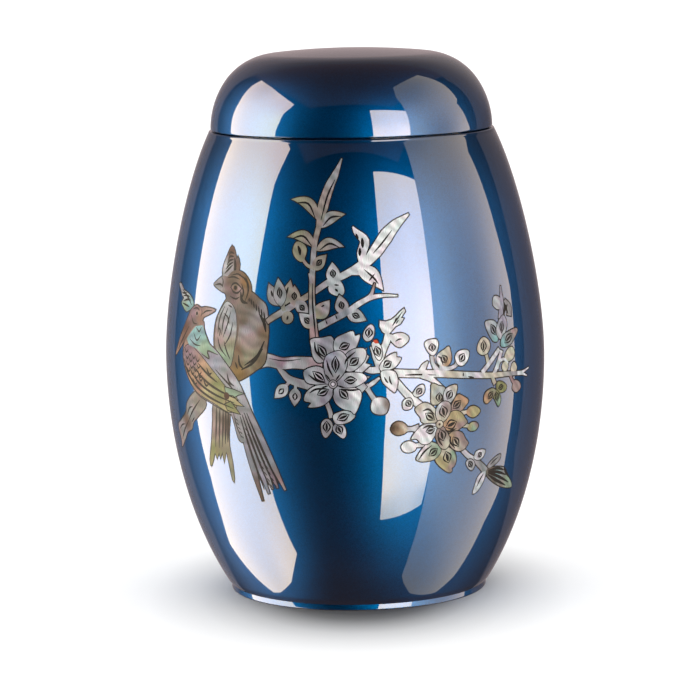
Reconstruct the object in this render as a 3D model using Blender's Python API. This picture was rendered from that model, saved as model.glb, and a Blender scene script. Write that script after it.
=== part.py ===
"""Funeral urn with a lift-off lid and a mother-of-pearl inlay.

A hollow barrel on a flat foot carries a low domed lid whose skirt drops into the mouth. The front
of the barrel has shallow pockets, and thin shell plates lie in them, level with the lacquer: two
birds, a perch, blossoms, a leafy stem, twigs and a budding branch.
"""
import math

import bmesh
import bpy
from mathutils import Vector
from mathutils.geometry import delaunay_2d_cdt, interpolate_bezier

# The barrel, in metres and degrees
BELLY_RADIUS = 0.090
BELLY_HEIGHT = 0.112
SEAM_HEIGHT = 0.2192
SHOULDER_RADIUS = 0.0675
SHOULDER_LEAN = 25.5
BASE_RADIUS = 0.0628
BASE_FLARE = 31.5
FOOT_RADIUS = 0.0610
FOOT_HEIGHT = 0.0048
FOOT_COVE = 0.0020
EDGE_ROUND = 0.0008
WALL = 0.0040
FLOOR = 0.0060
FLOOR_FILLET = 0.0060
MOUTH_RADIUS = 0.0625
MOUTH_DEPTH = 0.0090

# How far each end of the barrel's two curves keeps its direction, as shares of the curve's height
BASE_FULLNESS = 0.36
BELLY_FULLNESS_BELOW = 0.31
BELLY_FULLNESS_ABOVE = 0.275
SHOULDER_FULLNESS = 0.278

# The lid: a side arc, a tighter corner arc, and a flat crown that ends on the axis
LID_RADIUS = 0.0665
LID_GAP = 0.0004
LID_SIDE_RADIUS = 0.0395
LID_SIDE_SWEEP = 34.7
LID_CORNER_RADIUS = 0.0299
LID_CORNER_SWEEP = 83.9
LID_WALL = 0.0035
SKIRT_CLEARANCE = 0.0006
SKIRT_WALL = 0.0025
SKIRT_DEPTH = 0.0070
SKIRT_ROOT = 0.0030

# The shell inlay
PEARL_THICKNESS = 0.0005
PEARL_CLEARANCE = 0.0003
POCKET_DEPTH = 0.0010
PICTURE_BOTTOM = 0.0540
PICTURE_TOP_MARGIN = 0.0082

# The picture is drawn flat, in millimetres, for a barrel of this radius between these heights
DRAWN_RADIUS = 90.0
DRAWN_BOTTOM = 54.0
DRAWN_TOP = 211.0

# Facets
SEGMENTS = 44
OUTSIDE_STEPS = 6
INSIDE_STEPS = 4
LID_STEPS = (3, 4, 2)
LID_INSIDE_STEPS = (3, 3, 1)
SMALLEST_EDGE = 0.0003
STRAIGHT = 0.00002
SKIN_GRID = 0.011
MERGE = 0.000001


def remove_all():
    """Empties the scene of whatever it starts with."""
    for item in list(bpy.data.objects):
        bpy.data.objects.remove(item, do_unlink=True)


def material(name, colour, roughness, metallic, coat):
    """A Principled material with a clear coat."""
    made = bpy.data.materials.new(name)
    made.use_nodes = True
    shader = made.node_tree.nodes["Principled BSDF"]
    shader.inputs["Base Color"].default_value = (*colour, 1.0)
    shader.inputs["Roughness"].default_value = roughness
    shader.inputs["Metallic"].default_value = metallic
    shader.inputs["Coat Weight"].default_value = coat
    made.diffuse_color = (*colour, 1.0)
    return made


def arc(centre, radius, start, end, steps):
    """Points on an arc in the profile's plane; angles in degrees from +R towards +Z."""
    angles = [math.radians(start + (end - start) * i / steps) for i in range(steps + 1)]
    return [
        Vector((centre[0] + radius * math.cos(a), centre[1] + radius * math.sin(a)))
        for a in angles
    ]


def heading(degrees, length):
    """A step of the given length that leans outwards from straight up."""
    return Vector((math.sin(math.radians(degrees)), math.cos(math.radians(degrees)))) * length


def barrel_curve(steps):
    """The barrel's outer side, from just above the foot to just under the rim."""
    base = Vector((BASE_RADIUS, FOOT_HEIGHT))
    belly = Vector((BELLY_RADIUS, BELLY_HEIGHT))
    top = Vector((SHOULDER_RADIUS, SEAM_HEIGHT - EDGE_ROUND))
    low = belly.y - base.y
    high = top.y - belly.y
    below = interpolate_bezier(
        base, base + heading(BASE_FLARE, low * BASE_FULLNESS),
        belly - heading(0, low * BELLY_FULLNESS_BELOW), belly, steps + 1)
    above = interpolate_bezier(
        belly, belly + heading(0, high * BELLY_FULLNESS_ABOVE),
        top - heading(-SHOULDER_LEAN, high * SHOULDER_FULLNESS), top, steps + 1)
    return list(below) + list(above)[1:]


def radius_at(height, curve):
    """The radius at a height on a curve that runs upwards, along its straight facets."""
    for low, high in zip(curve, curve[1:]):
        if height <= high.y:
            share = (height - low.y) / (high.y - low.y)
            return low.x + (high.x - low.x) * share
    return curve[-1].x


def offset_inwards(curve, distance):
    """The same curve, moved towards the axis side by a wall's thickness."""
    moved = []
    for i, point in enumerate(curve):
        ahead = curve[min(i + 1, len(curve) - 1)]
        behind = curve[max(i - 1, 0)]
        along = (ahead - behind).normalized()
        moved.append(point - Vector((along.y, -along.x)) * distance)
    return moved


def body_profile(barrel):
    """The body's section from the middle of its underside to the middle of its inner floor."""
    foot = [Vector((0.0, 0.0))]
    foot += arc((FOOT_RADIUS - EDGE_ROUND, EDGE_ROUND), EDGE_ROUND, -90, 0, 2)
    foot.append(Vector((FOOT_RADIUS, FOOT_HEIGHT - FOOT_COVE)))
    rim = arc((SHOULDER_RADIUS - EDGE_ROUND, SEAM_HEIGHT - EDGE_ROUND), EDGE_ROUND, 0, 90, 2)[1:]
    mouth = [
        Vector((MOUTH_RADIUS + EDGE_ROUND, SEAM_HEIGHT)),
        Vector((MOUTH_RADIUS, SEAM_HEIGHT - EDGE_ROUND)),
        Vector((MOUTH_RADIUS, SEAM_HEIGHT - MOUTH_DEPTH)),
    ]
    lowest = FLOOR + FLOOR_FILLET
    highest = SEAM_HEIGHT - MOUTH_DEPTH - WALL
    wall = offset_inwards(barrel_curve(INSIDE_STEPS), WALL)
    corner = radius_at(lowest, wall)
    inside = [Vector((radius_at(highest, wall), highest))]
    inside += [p for p in reversed(wall) if lowest + FLOOR_FILLET < p.y < highest - WALL]
    fillet = arc((corner - FLOOR_FILLET, lowest), FLOOR_FILLET, 0, -90, 2)
    floor = [Vector((0.0, FLOOR))]
    return foot + barrel + rim + mouth + inside + fillet + floor


def lid_arcs():
    """Centre, radius, start and end of the lid's three outer arcs, from the rim to the crown."""
    start = Vector((LID_RADIUS, SEAM_HEIGHT + LID_GAP))
    side = start - Vector((LID_SIDE_RADIUS, 0.0))
    turn = math.radians(LID_SIDE_SWEEP)
    step = LID_SIDE_RADIUS - LID_CORNER_RADIUS
    corner = side + Vector((math.cos(turn), math.sin(turn))) * step
    turn = math.radians(LID_CORNER_SWEEP)
    crown_radius = LID_CORNER_RADIUS + corner.x / math.cos(turn)
    crown = Vector((0.0, corner.y - corner.x * math.tan(turn)))
    return [
        (side, LID_SIDE_RADIUS, 0.0, LID_SIDE_SWEEP),
        (corner, LID_CORNER_RADIUS, LID_SIDE_SWEEP, LID_CORNER_SWEEP),
        (crown, crown_radius, LID_CORNER_SWEEP, 90.0),
    ]


def lid_curve(inset, arc_steps):
    """The lid's dome at some depth under its outer surface, from the rim to the axis."""
    points = []
    for (centre, radius, start, end), steps in zip(lid_arcs(), arc_steps):
        points += arc(centre, radius - inset, start, end, steps)[1 if points else 0:]
    return points


def lid_profile():
    """The lid's section from the top of its crown round the rim and skirt to its inner crown."""
    seat = SEAM_HEIGHT + LID_GAP
    skirt = MOUTH_RADIUS - SKIRT_CLEARANCE
    outside = [p for p in reversed(lid_curve(0.0, LID_STEPS)) if p.y > seat + EDGE_ROUND]
    rim = arc((LID_RADIUS - EDGE_ROUND, seat + EDGE_ROUND), EDGE_ROUND, 0, -90, 2)
    ring = [
        Vector((skirt, seat)),
        Vector((skirt, seat - SKIRT_DEPTH + EDGE_ROUND)),
        Vector((skirt - EDGE_ROUND, seat - SKIRT_DEPTH)),
        Vector((skirt - SKIRT_WALL, seat - SKIRT_DEPTH)),
        Vector((skirt - SKIRT_WALL, seat + SKIRT_ROOT)),
    ]
    slope = LID_RADIUS - LID_WALL - (skirt - SKIRT_WALL)
    dome = lid_curve(LID_WALL, LID_INSIDE_STEPS)
    inside = [p for p in dome if p.y > seat + SKIRT_ROOT + slope]
    return outside + rim + ring + inside


def turned(name, profile, finish):
    """A solid of revolution about Z from a section that starts and ends on the axis."""
    mesh = bpy.data.meshes.new(name)
    shape = bmesh.new()
    dots = [shape.verts.new((p.x, 0.0, p.y)) for p in profile]
    edges = [shape.edges.new(pair) for pair in zip(dots, dots[1:])]
    bmesh.ops.spin(
        shape, geom=dots + edges, cent=(0, 0, 0), axis=(0, 0, 1), angle=2 * math.pi,
        steps=SEGMENTS, use_merge=True)
    bmesh.ops.remove_doubles(shape, verts=shape.verts, dist=MERGE)
    bmesh.ops.recalc_face_normals(shape, faces=shape.faces)
    shape.to_mesh(mesh)
    shape.free()
    return placed(name, mesh, finish)


def placed(name, mesh, finish):
    """Puts a finished mesh into the scene, smooth apart from its sharp edges."""
    mesh.materials.append(finish)
    mesh.shade_smooth()
    mesh.set_sharp_from_angle(angle=math.radians(30))
    made = bpy.data.objects.new(name, mesh)
    bpy.context.scene.collection.objects.link(made)
    return made


def on_skin(point, depth, barrel):
    """The place of a flat point when the picture is wrapped round the front of the barrel."""
    angle = point.x / BELLY_RADIUS
    radius = radius_at(point.y, barrel) - depth
    return Vector((radius * math.sin(angle), -radius * math.cos(angle), point.y))


def to_skin(drawn):
    """A point of the drawing in metres along the girth and up the barrel."""
    top = SEAM_HEIGHT - PICTURE_TOP_MARGIN
    share = (drawn[1] - DRAWN_BOTTOM) / (DRAWN_TOP - DRAWN_BOTTOM)
    along = drawn[0] / DRAWN_RADIUS * BELLY_RADIUS
    return Vector((along, PICTURE_BOTTOM + (top - PICTURE_BOTTOM) * share))


def leaf(base, tip, width, bow=0.0, steps=2):
    """Outline of a pointed leaf; its midrib bows to the left by a share of its length."""
    base, tip = Vector(base), Vector(tip)
    along = tip - base
    left = Vector((-along.y, along.x)).normalized()
    one, other = [], []
    for i in range(1, steps + 1):
        share = i / (steps + 1)
        rib = base + along * share + left * along.length * bow * 4 * share * (1 - share)
        half = width / 2 * math.sin(math.pi * share ** 0.8)
        one.append(rib - left * half)
        other.append(rib + left * half)
    return [base] + one + [tip] + other[::-1]


def bud(centre, radius, sides=6):
    """A round bud."""
    turn = 2 * math.pi / sides
    return [
        Vector((centre[0] + radius * math.cos(i * turn), centre[1] + radius * math.sin(i * turn)))
        for i in range(sides)
    ]


def twig(points, start, end):
    """A strip along a chain of points whose width goes evenly from start to end."""
    points = [Vector(p) for p in points]
    left, right = [], []
    for i, point in enumerate(points):
        along = points[min(i + 1, len(points) - 1)] - points[max(i - 1, 0)]
        side = Vector((-along.y, along.x)).normalized()
        half = (start + (end - start) * i / (len(points) - 1)) / 2
        left.append(point + side * half)
        right.append(point - side * half)
    return right + left[::-1]


def rounded(points, steps=2):
    """A closed curve that passes smoothly through a few points."""
    points = [Vector(p) for p in points]
    count = len(points)
    curve = []
    for i in range(count):
        before, here = points[i - 1], points[i]
        ahead, after = points[(i + 1) % count], points[(i + 2) % count]
        leaving, arriving = (ahead - before) / 6, (after - here) / 6
        curve += interpolate_bezier(here, here + leaving, ahead - arriving, ahead, steps + 1)[:-1]
    return curve


def petals(centre, tips, width):
    """Leaf shapes from one centre, one to each tip."""
    return [leaf(centre, tip, width) for tip in tips]


def feathers(roots, tips, start, end):
    """Long straight tail feathers, one from each root to its tip."""
    return [twig((root, tip), start, end) for root, tip in zip(roots, tips)]


def bird_front():
    """The nearer bird: crest, head, beak, nape plume, body with folded wing, and long tail."""
    shapes = [
        rounded([(-91.5, 135.5), (-96, 127), (-98.5, 119), (-94, 109), (-83, 101), (-68, 97), (-57, 95),
                 (-51, 97), (-54.5, 105), (-59, 112), (-70, 122.5), (-77, 126), (-80, 131), (-82, 136)]),
        bud((-87, 138), 4.4),
        leaf((-86, 139), (-73, 141.6), 4.0, 0.06),
        leaf((-89, 140), (-109.5, 150.5), 6.0, -0.1),
        leaf((-90, 137), (-107, 118), 5.0, 0.08),
    ]
    roots = [(-59, 97), (-57, 98), (-55, 98), (-53, 98), (-51.5, 99)]
    tips = [(-49.5, 54.5), (-45.2, 58), (-42.2, 59.5), (-39, 60), (-35.6, 61)]
    shapes += feathers(roots, tips, 3.4, 1.6)
    shapes.append(twig([(-60.5, 98), (-57.6, 83)], 2.6, 2.2))
    return shapes


def bird_rear():
    """The further bird: crest, head, beak and round body; the nearer bird lies over its lower side."""
    return [
        rounded([(-52, 150), (-46.5, 149), (-42.5, 145), (-41, 135), (-41.6, 126), (-43, 119.5),
                 (-49, 115.5), (-58, 111.5), (-63, 114), (-69, 120), (-72.5, 126), (-72.4, 136),
                 (-69.5, 142), (-65.5, 147), (-62, 150)]),
        bud((-59.5, 153), 7.3, 11),
        leaf((-62, 154), (-75.3, 153), 7.0, -0.04),
        leaf((-64.5, 155.5), (-66.3, 171), 7.0, 0.03),
        leaf((-62.5, 157), (-61.2, 166), 3.2),
    ]


def tail_rear():
    """The further bird's tail feathers, which hang below the nearer bird's wing."""
    roots = [(-73, 101), (-71, 101), (-69, 101), (-67, 101), (-65, 101)]
    tips = [(-81, 68.5), (-76.5, 73.5), (-73.5, 73), (-70.5, 71), (-66, 62.8)]
    return feathers(roots, tips, 3.0, 1.8)


def perch():
    """The broken end of the bough under the nearer bird."""
    return [rounded([(-86, 104), (-96, 95.5), (-100, 90.5), (-111, 83), (-110, 74), (-99, 82),
                     (-91, 87), (-87.5, 92), (-79, 99)])]


def bough():
    """The thick bough between the birds and the left blossom, with a twig and two leaves."""
    return [
        twig([(-45, 120.5), (-32, 119.3), (-20, 120)], 5.6, 5.2),
        twig([(-36, 117), (-29.4, 111.5), (-17, 109)], 2.6, 3.2),
        leaf((-30, 112), (-38, 104.5), 5.0),
        leaf((-27.5, 111), (-28, 101), 5.0),
    ]


def blossom_left():
    """The blossom in the middle, its back petals, the bud on its right and the leaves below it."""
    centre = (-10, 111)
    shapes = petals(centre, [(-9.5, 127.5), (4, 111.5), (-0.5, 98.3), (-22.3, 100), (-23.5, 114.5)], 12.5)
    shapes += petals(centre, [(-20, 131.5), (0.5, 134), (5.4, 125)], 14.0)
    shapes += [
        twig([(0, 110.5), (5.5, 108.3), (9.5, 102)], 1.8, 1.8),
        bud((10.6, 100.6), 3.6),
        twig([(-13.5, 102), (-11.5, 95)], 2.0, 2.4),
        leaf((-12, 95.5), (-1, 96.5), 5.5),
        leaf((-11.5, 96.5), (-14, 86.5), 5.2),
        leaf((-12.5, 96.5), (-5.4, 86.3), 5.2),
    ]
    return shapes


def stem():
    """The upright leafy stem above the left blossom."""
    return [
        twig([(-18.5, 129), (-20, 151), (-19.9, 164), (-17, 184)], 3.6, 2.2),
        leaf((-17.4, 182), (-6, 210.7), 6.0, 0.06),
        leaf((-16.8, 184), (-33, 192.5), 4.4, -0.16),
        leaf((-17.5, 180), (-4, 186.5), 4.4, 0.1),
        leaf((-18.2, 173), (-33, 177), 4.8, -0.16),
        leaf((-19, 171), (-5, 173), 4.8, 0.14),
        twig([(-19.9, 163), (-25, 167)], 1.6, 1.6),
        bud((-26.8, 170), 4.0),
        leaf((-20, 161), (-14, 168), 4.6),
        leaf((-19.5, 136), (-25, 143), 5.0),
        leaf((-19.5, 139), (-12.5, 148), 6.0),
    ]


def twig_left():
    """The twig from the further bird's shoulder to the stem, with a three-petalled bud."""
    return [
        twig([(-44, 136.8), (-32.3, 144.1), (-19, 152.2)], 2.8, 2.4),
        twig([(-33.5, 143.5), (-35, 149)], 1.6, 1.6),
        leaf((-34.5, 147), (-41.5, 155), 5.0, 0.1),
        leaf((-35, 147), (-37, 158), 5.0),
        leaf((-35, 147), (-31, 157.5), 4.6, -0.08),
        leaf((-28, 146.5), (-29.5, 154), 4.4),
        leaf((-27, 148), (-22, 142.5), 4.4),
        bud((-31.5, 141), 2.6),
    ]


def twig_right():
    """The twig that runs on from the stem to three large leaves."""
    return [
        twig([(-20, 151.5), (-11.9, 156.7), (0.1, 162.1), (6, 166)], 2.4, 2.6),
        leaf((-10, 156), (-10.5, 164.5), 5.6),
        leaf((-10, 158), (-7.5, 151), 5.6),
        leaf((5, 164.5), (29, 185.5), 7.0, 0.04),
        leaf((5, 163.5), (0.5, 180.5), 5.0, -0.14),
        leaf((3, 163.8), (13, 154), 6.2, 0.14),
    ]


def twig_middle():
    """The lower twig to the right of the stem, forked at its end, with two leaves."""
    return [
        twig([(-19, 135.2), (-3.3, 143.3), (6, 148.8), (19.7, 150)], 2.4, 1.2),
        twig([(4, 147.6), (9.3, 155)], 1.6, 1.2),
        leaf((-4.5, 142), (-6, 149.5), 5.0),
        leaf((-3.5, 143.5), (4.5, 140), 4.6),
    ]


def sprig_centre():
    """The leafy knot to the right of the left blossom, where the thin branch starts."""
    return [
        twig([(2, 119.5), (12, 118)], 3.0, 3.0),
        twig([(10.5, 117), (14, 133)], 2.6, 3.0),
        leaf((13, 128), (24, 144), 8.0),
        leaf((13.5, 131), (12.5, 140), 4.0),
        leaf((13.5, 130), (25.5, 130.5), 6.0),
        leaf((10, 116.5), (21.5, 123), 6.6, 0.05),
        leaf((11, 119.5), (17.5, 107), 6.4, 0.05),
        twig([(10.5, 118.5), (6.2, 131)], 2.4, 2.0),
        leaf((6.6, 129), (5.5, 138.5), 5.2),
    ]


def branch_right():
    """The long thin branch that runs off to the right, with buds, a flower and small leaves."""
    return [
        twig([(16.5, 116), (39.5, 113.9), (61.4, 111.4), (94, 108.1)], 3.0, 1.8),
        twig([(92, 108.4), (99, 110)], 1.6, 1.2),
        twig([(92, 108.2), (97.5, 106)], 1.6, 1.2),
        twig([(27, 115.2), (34, 119.3)], 2.0, 1.2),
        twig([(38.5, 114), (35.8, 123)], 1.6, 1.6),
        bud((35.6, 126.2), 4.0),
        leaf((38.5, 114.5), (43.5, 126), 7.0),
        twig([(40, 114.5), (47.8, 117), (51, 119)], 1.6, 1.6),
        leaf((48.5, 117.2), (55.5, 123.5), 6.0),
        twig([(62, 111.3), (77, 124)], 2.2, 1.8),
        twig([(66.6, 115), (64.6, 122)], 1.6, 1.6),
        bud((64.4, 124.8), 3.8),
        leaf((76, 123), (67.2, 137.3), 5.2, 0.06),
        leaf((76, 123), (76.5, 138), 5.4),
        leaf((76, 123), (89, 129.5), 6.6),
        leaf((76.5, 135), (82, 152), 6.0),
        twig([(70, 110.6), (75.5, 117.5)], 2.0, 1.6),
        bud((77, 119), 2.4),
        leaf((86, 108.5), (84.6, 116), 4.0),
        twig([(68.5, 111), (70.5, 104)], 1.8, 1.8),
        leaf((70.3, 107), (65.5, 97.8), 4.6),
        leaf((70, 106.5), (74, 95.5), 4.6),
        leaf((69.8, 105), (80, 102), 4.4),
        leaf((85.5, 109), (88.5, 99.5), 4.2),
        twig([(31, 114.8), (37, 109.7)], 1.8, 1.4),
    ]


def blossom_right():
    """The blossom low on the right, with back petals, four buds and the twig that carries it."""
    centre = (39.5, 90.5)
    shapes = petals(centre, [(42.5, 101.5), (54, 90.5), (54, 80), (41, 77.5), (27, 84), (26.5, 97)], 11.0)
    shapes += petals(centre, [(36, 108.5), (48, 107.6), (55.5, 99.8), (46.5, 67.3), (29.3, 73.8)], 10.0)
    shapes += [
        twig([(17.9, 110.2), (23.8, 104.3), (31, 98)], 2.6, 2.6),
        leaf((25, 102.5), (31.5, 108.3), 4.4),
        leaf((24.5, 104), (22.5, 96.8), 4.2),
        twig([(50, 92.5), (56, 94.6)], 1.6, 1.4),
        bud((57.6, 95), 3.0),
        twig([(50, 90), (56, 88)], 1.6, 1.4),
        bud((57.4, 87.6), 2.6),
        twig([(31, 89), (21, 89.6)], 1.8, 1.4),
        bud((19.9, 89.6), 3.2),
        twig([(32, 84), (26, 81)], 1.8, 1.4),
        bud((24.6, 80.6), 3.2),
    ]
    return shapes


def sprig_low():
    """The small sprig under the right blossom, with narrow leaves and a half-open flower."""
    return [
        twig([(50, 79), (59, 73.5), (70, 65)], 2.2, 2.4),
        leaf((61.5, 71), (64.5, 76.5), 4.0),
        leaf((60.5, 73), (57, 67.8), 4.0),
        leaf((68.5, 67), (62.4, 55.4), 4.2),
        leaf((68, 65.5), (78.3, 71.4), 2.8),
        leaf((68, 66.5), (85, 65.5), 5.0, 0.06),
        leaf((68, 66.5), (90.5, 60), 5.4),
        leaf((68, 66.5), (93.5, 54.3), 5.6, -0.06),
    ]


# Each plate with the plates that lie over it and cut it back
PLATES = {
    "pearl_bird_front": (bird_front, ()),
    "pearl_bird_rear": (bird_rear, (bird_front,)),
    "pearl_tail_rear": (tail_rear, (bird_front,)),
    "pearl_perch": (perch, (bird_front,)),
    "pearl_blossom_left": (blossom_left, ()),
    "pearl_bough": (bough, (bird_rear, bird_front, blossom_left)),
    "pearl_stem": (stem, (blossom_left,)),
    "pearl_twig_left": (twig_left, (bird_rear, stem)),
    "pearl_twig_right": (twig_right, (stem,)),
    "pearl_twig_middle": (twig_middle, (stem, blossom_left)),
    "pearl_sprig_centre": (sprig_centre, (blossom_left,)),
    "pearl_branch_right": (branch_right, (sprig_centre,)),
    "pearl_blossom_right": (blossom_right, (sprig_centre, branch_right)),
    "pearl_sprig_low": (sprig_low, (blossom_right,)),
}


def anticlockwise(outline):
    """The outline, turned round if it runs clockwise."""
    area = sum(a.x * b.y - b.x * a.y for a, b in zip(outline, outline[1:] + outline[:1]))
    return outline if area > 0 else outline[::-1]


def on_barrel(shapes):
    """Drawn outlines in metres along the barrel, all running the same way round."""
    return [anticlockwise([to_skin(p) for p in outline]) for outline in shapes]


def grown(outline, distance):
    """The outline, moved outwards; a sharp corner moves at most twice the distance."""
    moved = []
    for i, point in enumerate(outline):
        into = (point - outline[i - 1]).normalized()
        out = (outline[(i + 1) % len(outline)] - point).normalized()
        normal = Vector((into.y + out.y, -into.x - out.x)).normalized()
        spread = max(0.5, normal.dot(Vector((into.y, -into.x))))
        moved.append(point + normal * distance / spread)
    return moved


def neighbours(triangles):
    """For each triangle the others that share an edge with it."""
    owner = {}
    for number, corners in enumerate(triangles):
        for a, b in zip(corners, corners[1:] + corners[:1]):
            owner[(a, b)] = number
    return [
        [owner[(b, a)] for a, b in zip(corners, corners[1:] + corners[:1]) if (b, a) in owner]
        for corners in triangles
    ]


def largest_part(triangles):
    """The connected group with the most triangles."""
    beside = neighbours(triangles)
    left = set(range(len(triangles)))
    best = []
    while left:
        group, queue = [], [left.pop()]
        while queue:
            number = queue.pop()
            group.append(number)
            fresh = [n for n in beside[number] if n in left]
            left.difference_update(fresh)
            queue += fresh
        if len(group) > len(best):
            best = group
    return [triangles[n] for n in sorted(best)]


def merged(shapes, covers, whole):
    """Outlines of the area inside any shape and outside every cover."""
    points, faces = [], []
    for outline in shapes + covers:
        faces.append(list(range(len(points), len(points) + len(outline))))
        points += outline
    points, _, triangles, _, _, sources = delaunay_2d_cdt(points, [], faces, 1, MERGE)
    kept = [
        list(corners) for corners, source in zip(triangles, sources)
        if source and max(source) < len(shapes)
    ]
    if not whole:
        kept = largest_part(kept)
    sides = {(a, b) for corners in kept for a, b in zip(corners, corners[1:] + corners[:1])}
    return [loop for loop in map(simplified, outer_loops(points, sides)) if len(loop) > 2]


def outer_loops(points, sides):
    """Chains the sides that no triangle shares into loops, without points where two loops touch."""
    after = {}
    for a, b in sorted(sides):
        if (b, a) not in sides:
            after.setdefault(a, []).append(b)
    touching = {a for a, following in after.items() if len(following) > 1}
    loops = []
    while after:
        here = start = min(after)
        loop = []
        while True:
            if here not in touching:
                loop.append(points[here])
            following = after[here].pop()
            if not after[here]:
                del after[here]
            here = following
            if here == start:
                break
        loops.append(loop)
    return loops


def simplified(loop):
    """The loop without points that are too close together or that lie on a straight side."""
    kept = loop[:1]
    for point in loop[1:]:
        if (point - kept[-1]).length > SMALLEST_EDGE and (point - kept[0]).length > SMALLEST_EDGE:
            kept.append(point)
    bent = []
    for before, point, after in zip(kept[-1:] + kept[:-1], kept, kept[1:] + kept[:1]):
        along = (after - before).normalized()
        if abs(along.cross(point - before)) > STRAIGHT:
            bent.append(point)
    return bent


def is_inside(point, loops):
    """Whether a point lies inside the area that the loops bound, holes left out."""
    inside = False
    for loop in loops:
        for a, b in zip(loop, loop[1:] + loop[:1]):
            if (a.y > point.y) != (b.y > point.y):
                crossing = a.x + (point.y - a.y) / (b.y - a.y) * (b.x - a.x)
                if crossing > point.x:
                    inside = not inside
    return inside


def clear_of(point, loops, distance):
    """Whether a point is at least this far from every side of the loops."""
    for loop in loops:
        for a, b in zip(loop, loop[1:] + loop[:1]):
            side = b - a
            share = max(0.0, min(1.0, (point - a).dot(side) / side.length_squared))
            if (a + side * share - point).length < distance:
                return False
    return True


def grid_inside(loops):
    """Even inner points, so that a wide area follows the curve of the barrel."""
    xs = [p.x for loop in loops for p in loop]
    ys = [p.y for loop in loops for p in loop]
    found = []
    for i in range(math.ceil(min(xs) / SKIN_GRID), math.floor(max(xs) / SKIN_GRID) + 1):
        for j in range(math.ceil(min(ys) / SKIN_GRID), math.floor(max(ys) / SKIN_GRID) + 1):
            point = Vector((i * SKIN_GRID, j * SKIN_GRID))
            if is_inside(point, loops) and clear_of(point, loops, SKIN_GRID / 3):
                found.append(point)
    return found


def divided(loop):
    """The loop with its long sides split evenly, so that they follow the barrel."""
    split = []
    for a, b in zip(loop, loop[1:] + loop[:1]):
        count = math.ceil((b - a).length / SKIN_GRID)
        split += [a.lerp(b, i / count) for i in range(count)]
    return split


def slab(name, loops, top, bottom, barrel, finish):
    """A thin solid between two depths under the skin, with the loops as its outline."""
    points, edges = [], []
    for loop in map(divided, loops):
        first = len(points)
        points += loop
        edges += [(first + i, first + (i + 1) % len(loop)) for i in range(len(loop))]
    points += grid_inside(loops)
    points, _, triangles, _, _, _ = delaunay_2d_cdt(points, edges, [], 0, MERGE)
    kept = [
        corners for corners in triangles
        if is_inside(sum((points[c] for c in corners), Vector((0.0, 0.0))) / 3, loops)
    ]
    used = sorted({c for corners in kept for c in corners})
    shape = bmesh.new()
    upper = {c: shape.verts.new(on_skin(points[c], top, barrel)) for c in used}
    lower = {c: shape.verts.new(on_skin(points[c], bottom, barrel)) for c in used}
    sides = {(a, b) for corners in kept for a, b in zip(corners, corners[1:] + corners[:1])}
    for a, b, c in kept:
        shape.faces.new((upper[a], upper[b], upper[c]))
        shape.faces.new((lower[c], lower[b], lower[a]))
    for a, b in sorted(sides):
        if (b, a) not in sides:
            shape.faces.new((upper[b], upper[a], lower[a], lower[b]))
    bmesh.ops.recalc_face_normals(shape, faces=shape.faces)
    mesh = bpy.data.meshes.new(name)
    shape.to_mesh(mesh)
    shape.free()
    return placed(name, mesh, finish)


def cut_pockets(body, barrel, finish):
    """Sinks one shallow pocket round all the plates into the front of the body."""
    shapes = [
        grown(outline, PEARL_CLEARANCE)
        for draw, _ in PLATES.values() for outline in on_barrel(draw())
    ]
    outlines = merged(shapes, [], True)
    cutter = slab("pearl_pockets", outlines, -POCKET_DEPTH, POCKET_DEPTH, barrel, finish)
    cutter.hide_render = True
    cutter.display_type = "WIRE"
    cut = body.modifiers.new("pockets", "BOOLEAN")
    cut.operation = "DIFFERENCE"
    cut.solver = "EXACT"
    cut.object = cutter


def lay_plates(barrel, finish):
    """Makes each shell plate, cut back from the plates that lie over it."""
    for name, (draw, covers) in PLATES.items():
        over = [
            grown(outline, PEARL_CLEARANCE + SMALLEST_EDGE)
            for cover in covers for outline in on_barrel(cover())
        ]
        slab(name, merged(on_barrel(draw()), over, False), 0.0, PEARL_THICKNESS, barrel, finish)


def main():
    remove_all()
    lacquer = material("blue lacquer", (0.0, 0.09, 0.25), 0.35, 0.6, 1.0)
    pearl = material("mother of pearl", (0.62, 0.60, 0.56), 0.25, 0.1, 1.0)
    barrel = barrel_curve(OUTSIDE_STEPS)
    body = turned("body", body_profile(barrel), lacquer)
    turned("lid", lid_profile(), lacquer)
    cut_pockets(body, barrel, lacquer)
    lay_plates(barrel, pearl)


main()
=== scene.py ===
"""Funeral urn: deep blue flake lacquer with mother-of-pearl birds and blossoms, in a white studio."""
import math

import bpy
from mathutils import Matrix, Vector
from mathutils.geometry import delaunay_2d_cdt, interpolate_bezier


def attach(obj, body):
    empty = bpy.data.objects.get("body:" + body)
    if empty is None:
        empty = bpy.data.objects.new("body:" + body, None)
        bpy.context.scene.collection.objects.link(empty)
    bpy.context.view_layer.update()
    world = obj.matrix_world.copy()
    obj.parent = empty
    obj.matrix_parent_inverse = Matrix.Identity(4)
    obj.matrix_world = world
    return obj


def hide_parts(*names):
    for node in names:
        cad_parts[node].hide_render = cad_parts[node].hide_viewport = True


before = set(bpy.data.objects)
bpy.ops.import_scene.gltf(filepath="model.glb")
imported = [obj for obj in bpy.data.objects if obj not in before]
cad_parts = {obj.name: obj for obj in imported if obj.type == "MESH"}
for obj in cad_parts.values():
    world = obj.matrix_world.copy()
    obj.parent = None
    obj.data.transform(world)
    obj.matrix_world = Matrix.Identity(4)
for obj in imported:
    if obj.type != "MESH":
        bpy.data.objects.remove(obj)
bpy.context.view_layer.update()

# The urn's sizes, in metres and degrees, as in the solid model
BELLY_RADIUS = 0.090
BELLY_HEIGHT = 0.112
SEAM_HEIGHT = 0.2192
CROWN_HEIGHT = 0.2568
SHOULDER_RADIUS = 0.0675
SHOULDER_LEAN = 25.5
BASE_RADIUS = 0.0628
BASE_FLARE = 31.5
FOOT_RADIUS = 0.0610
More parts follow.
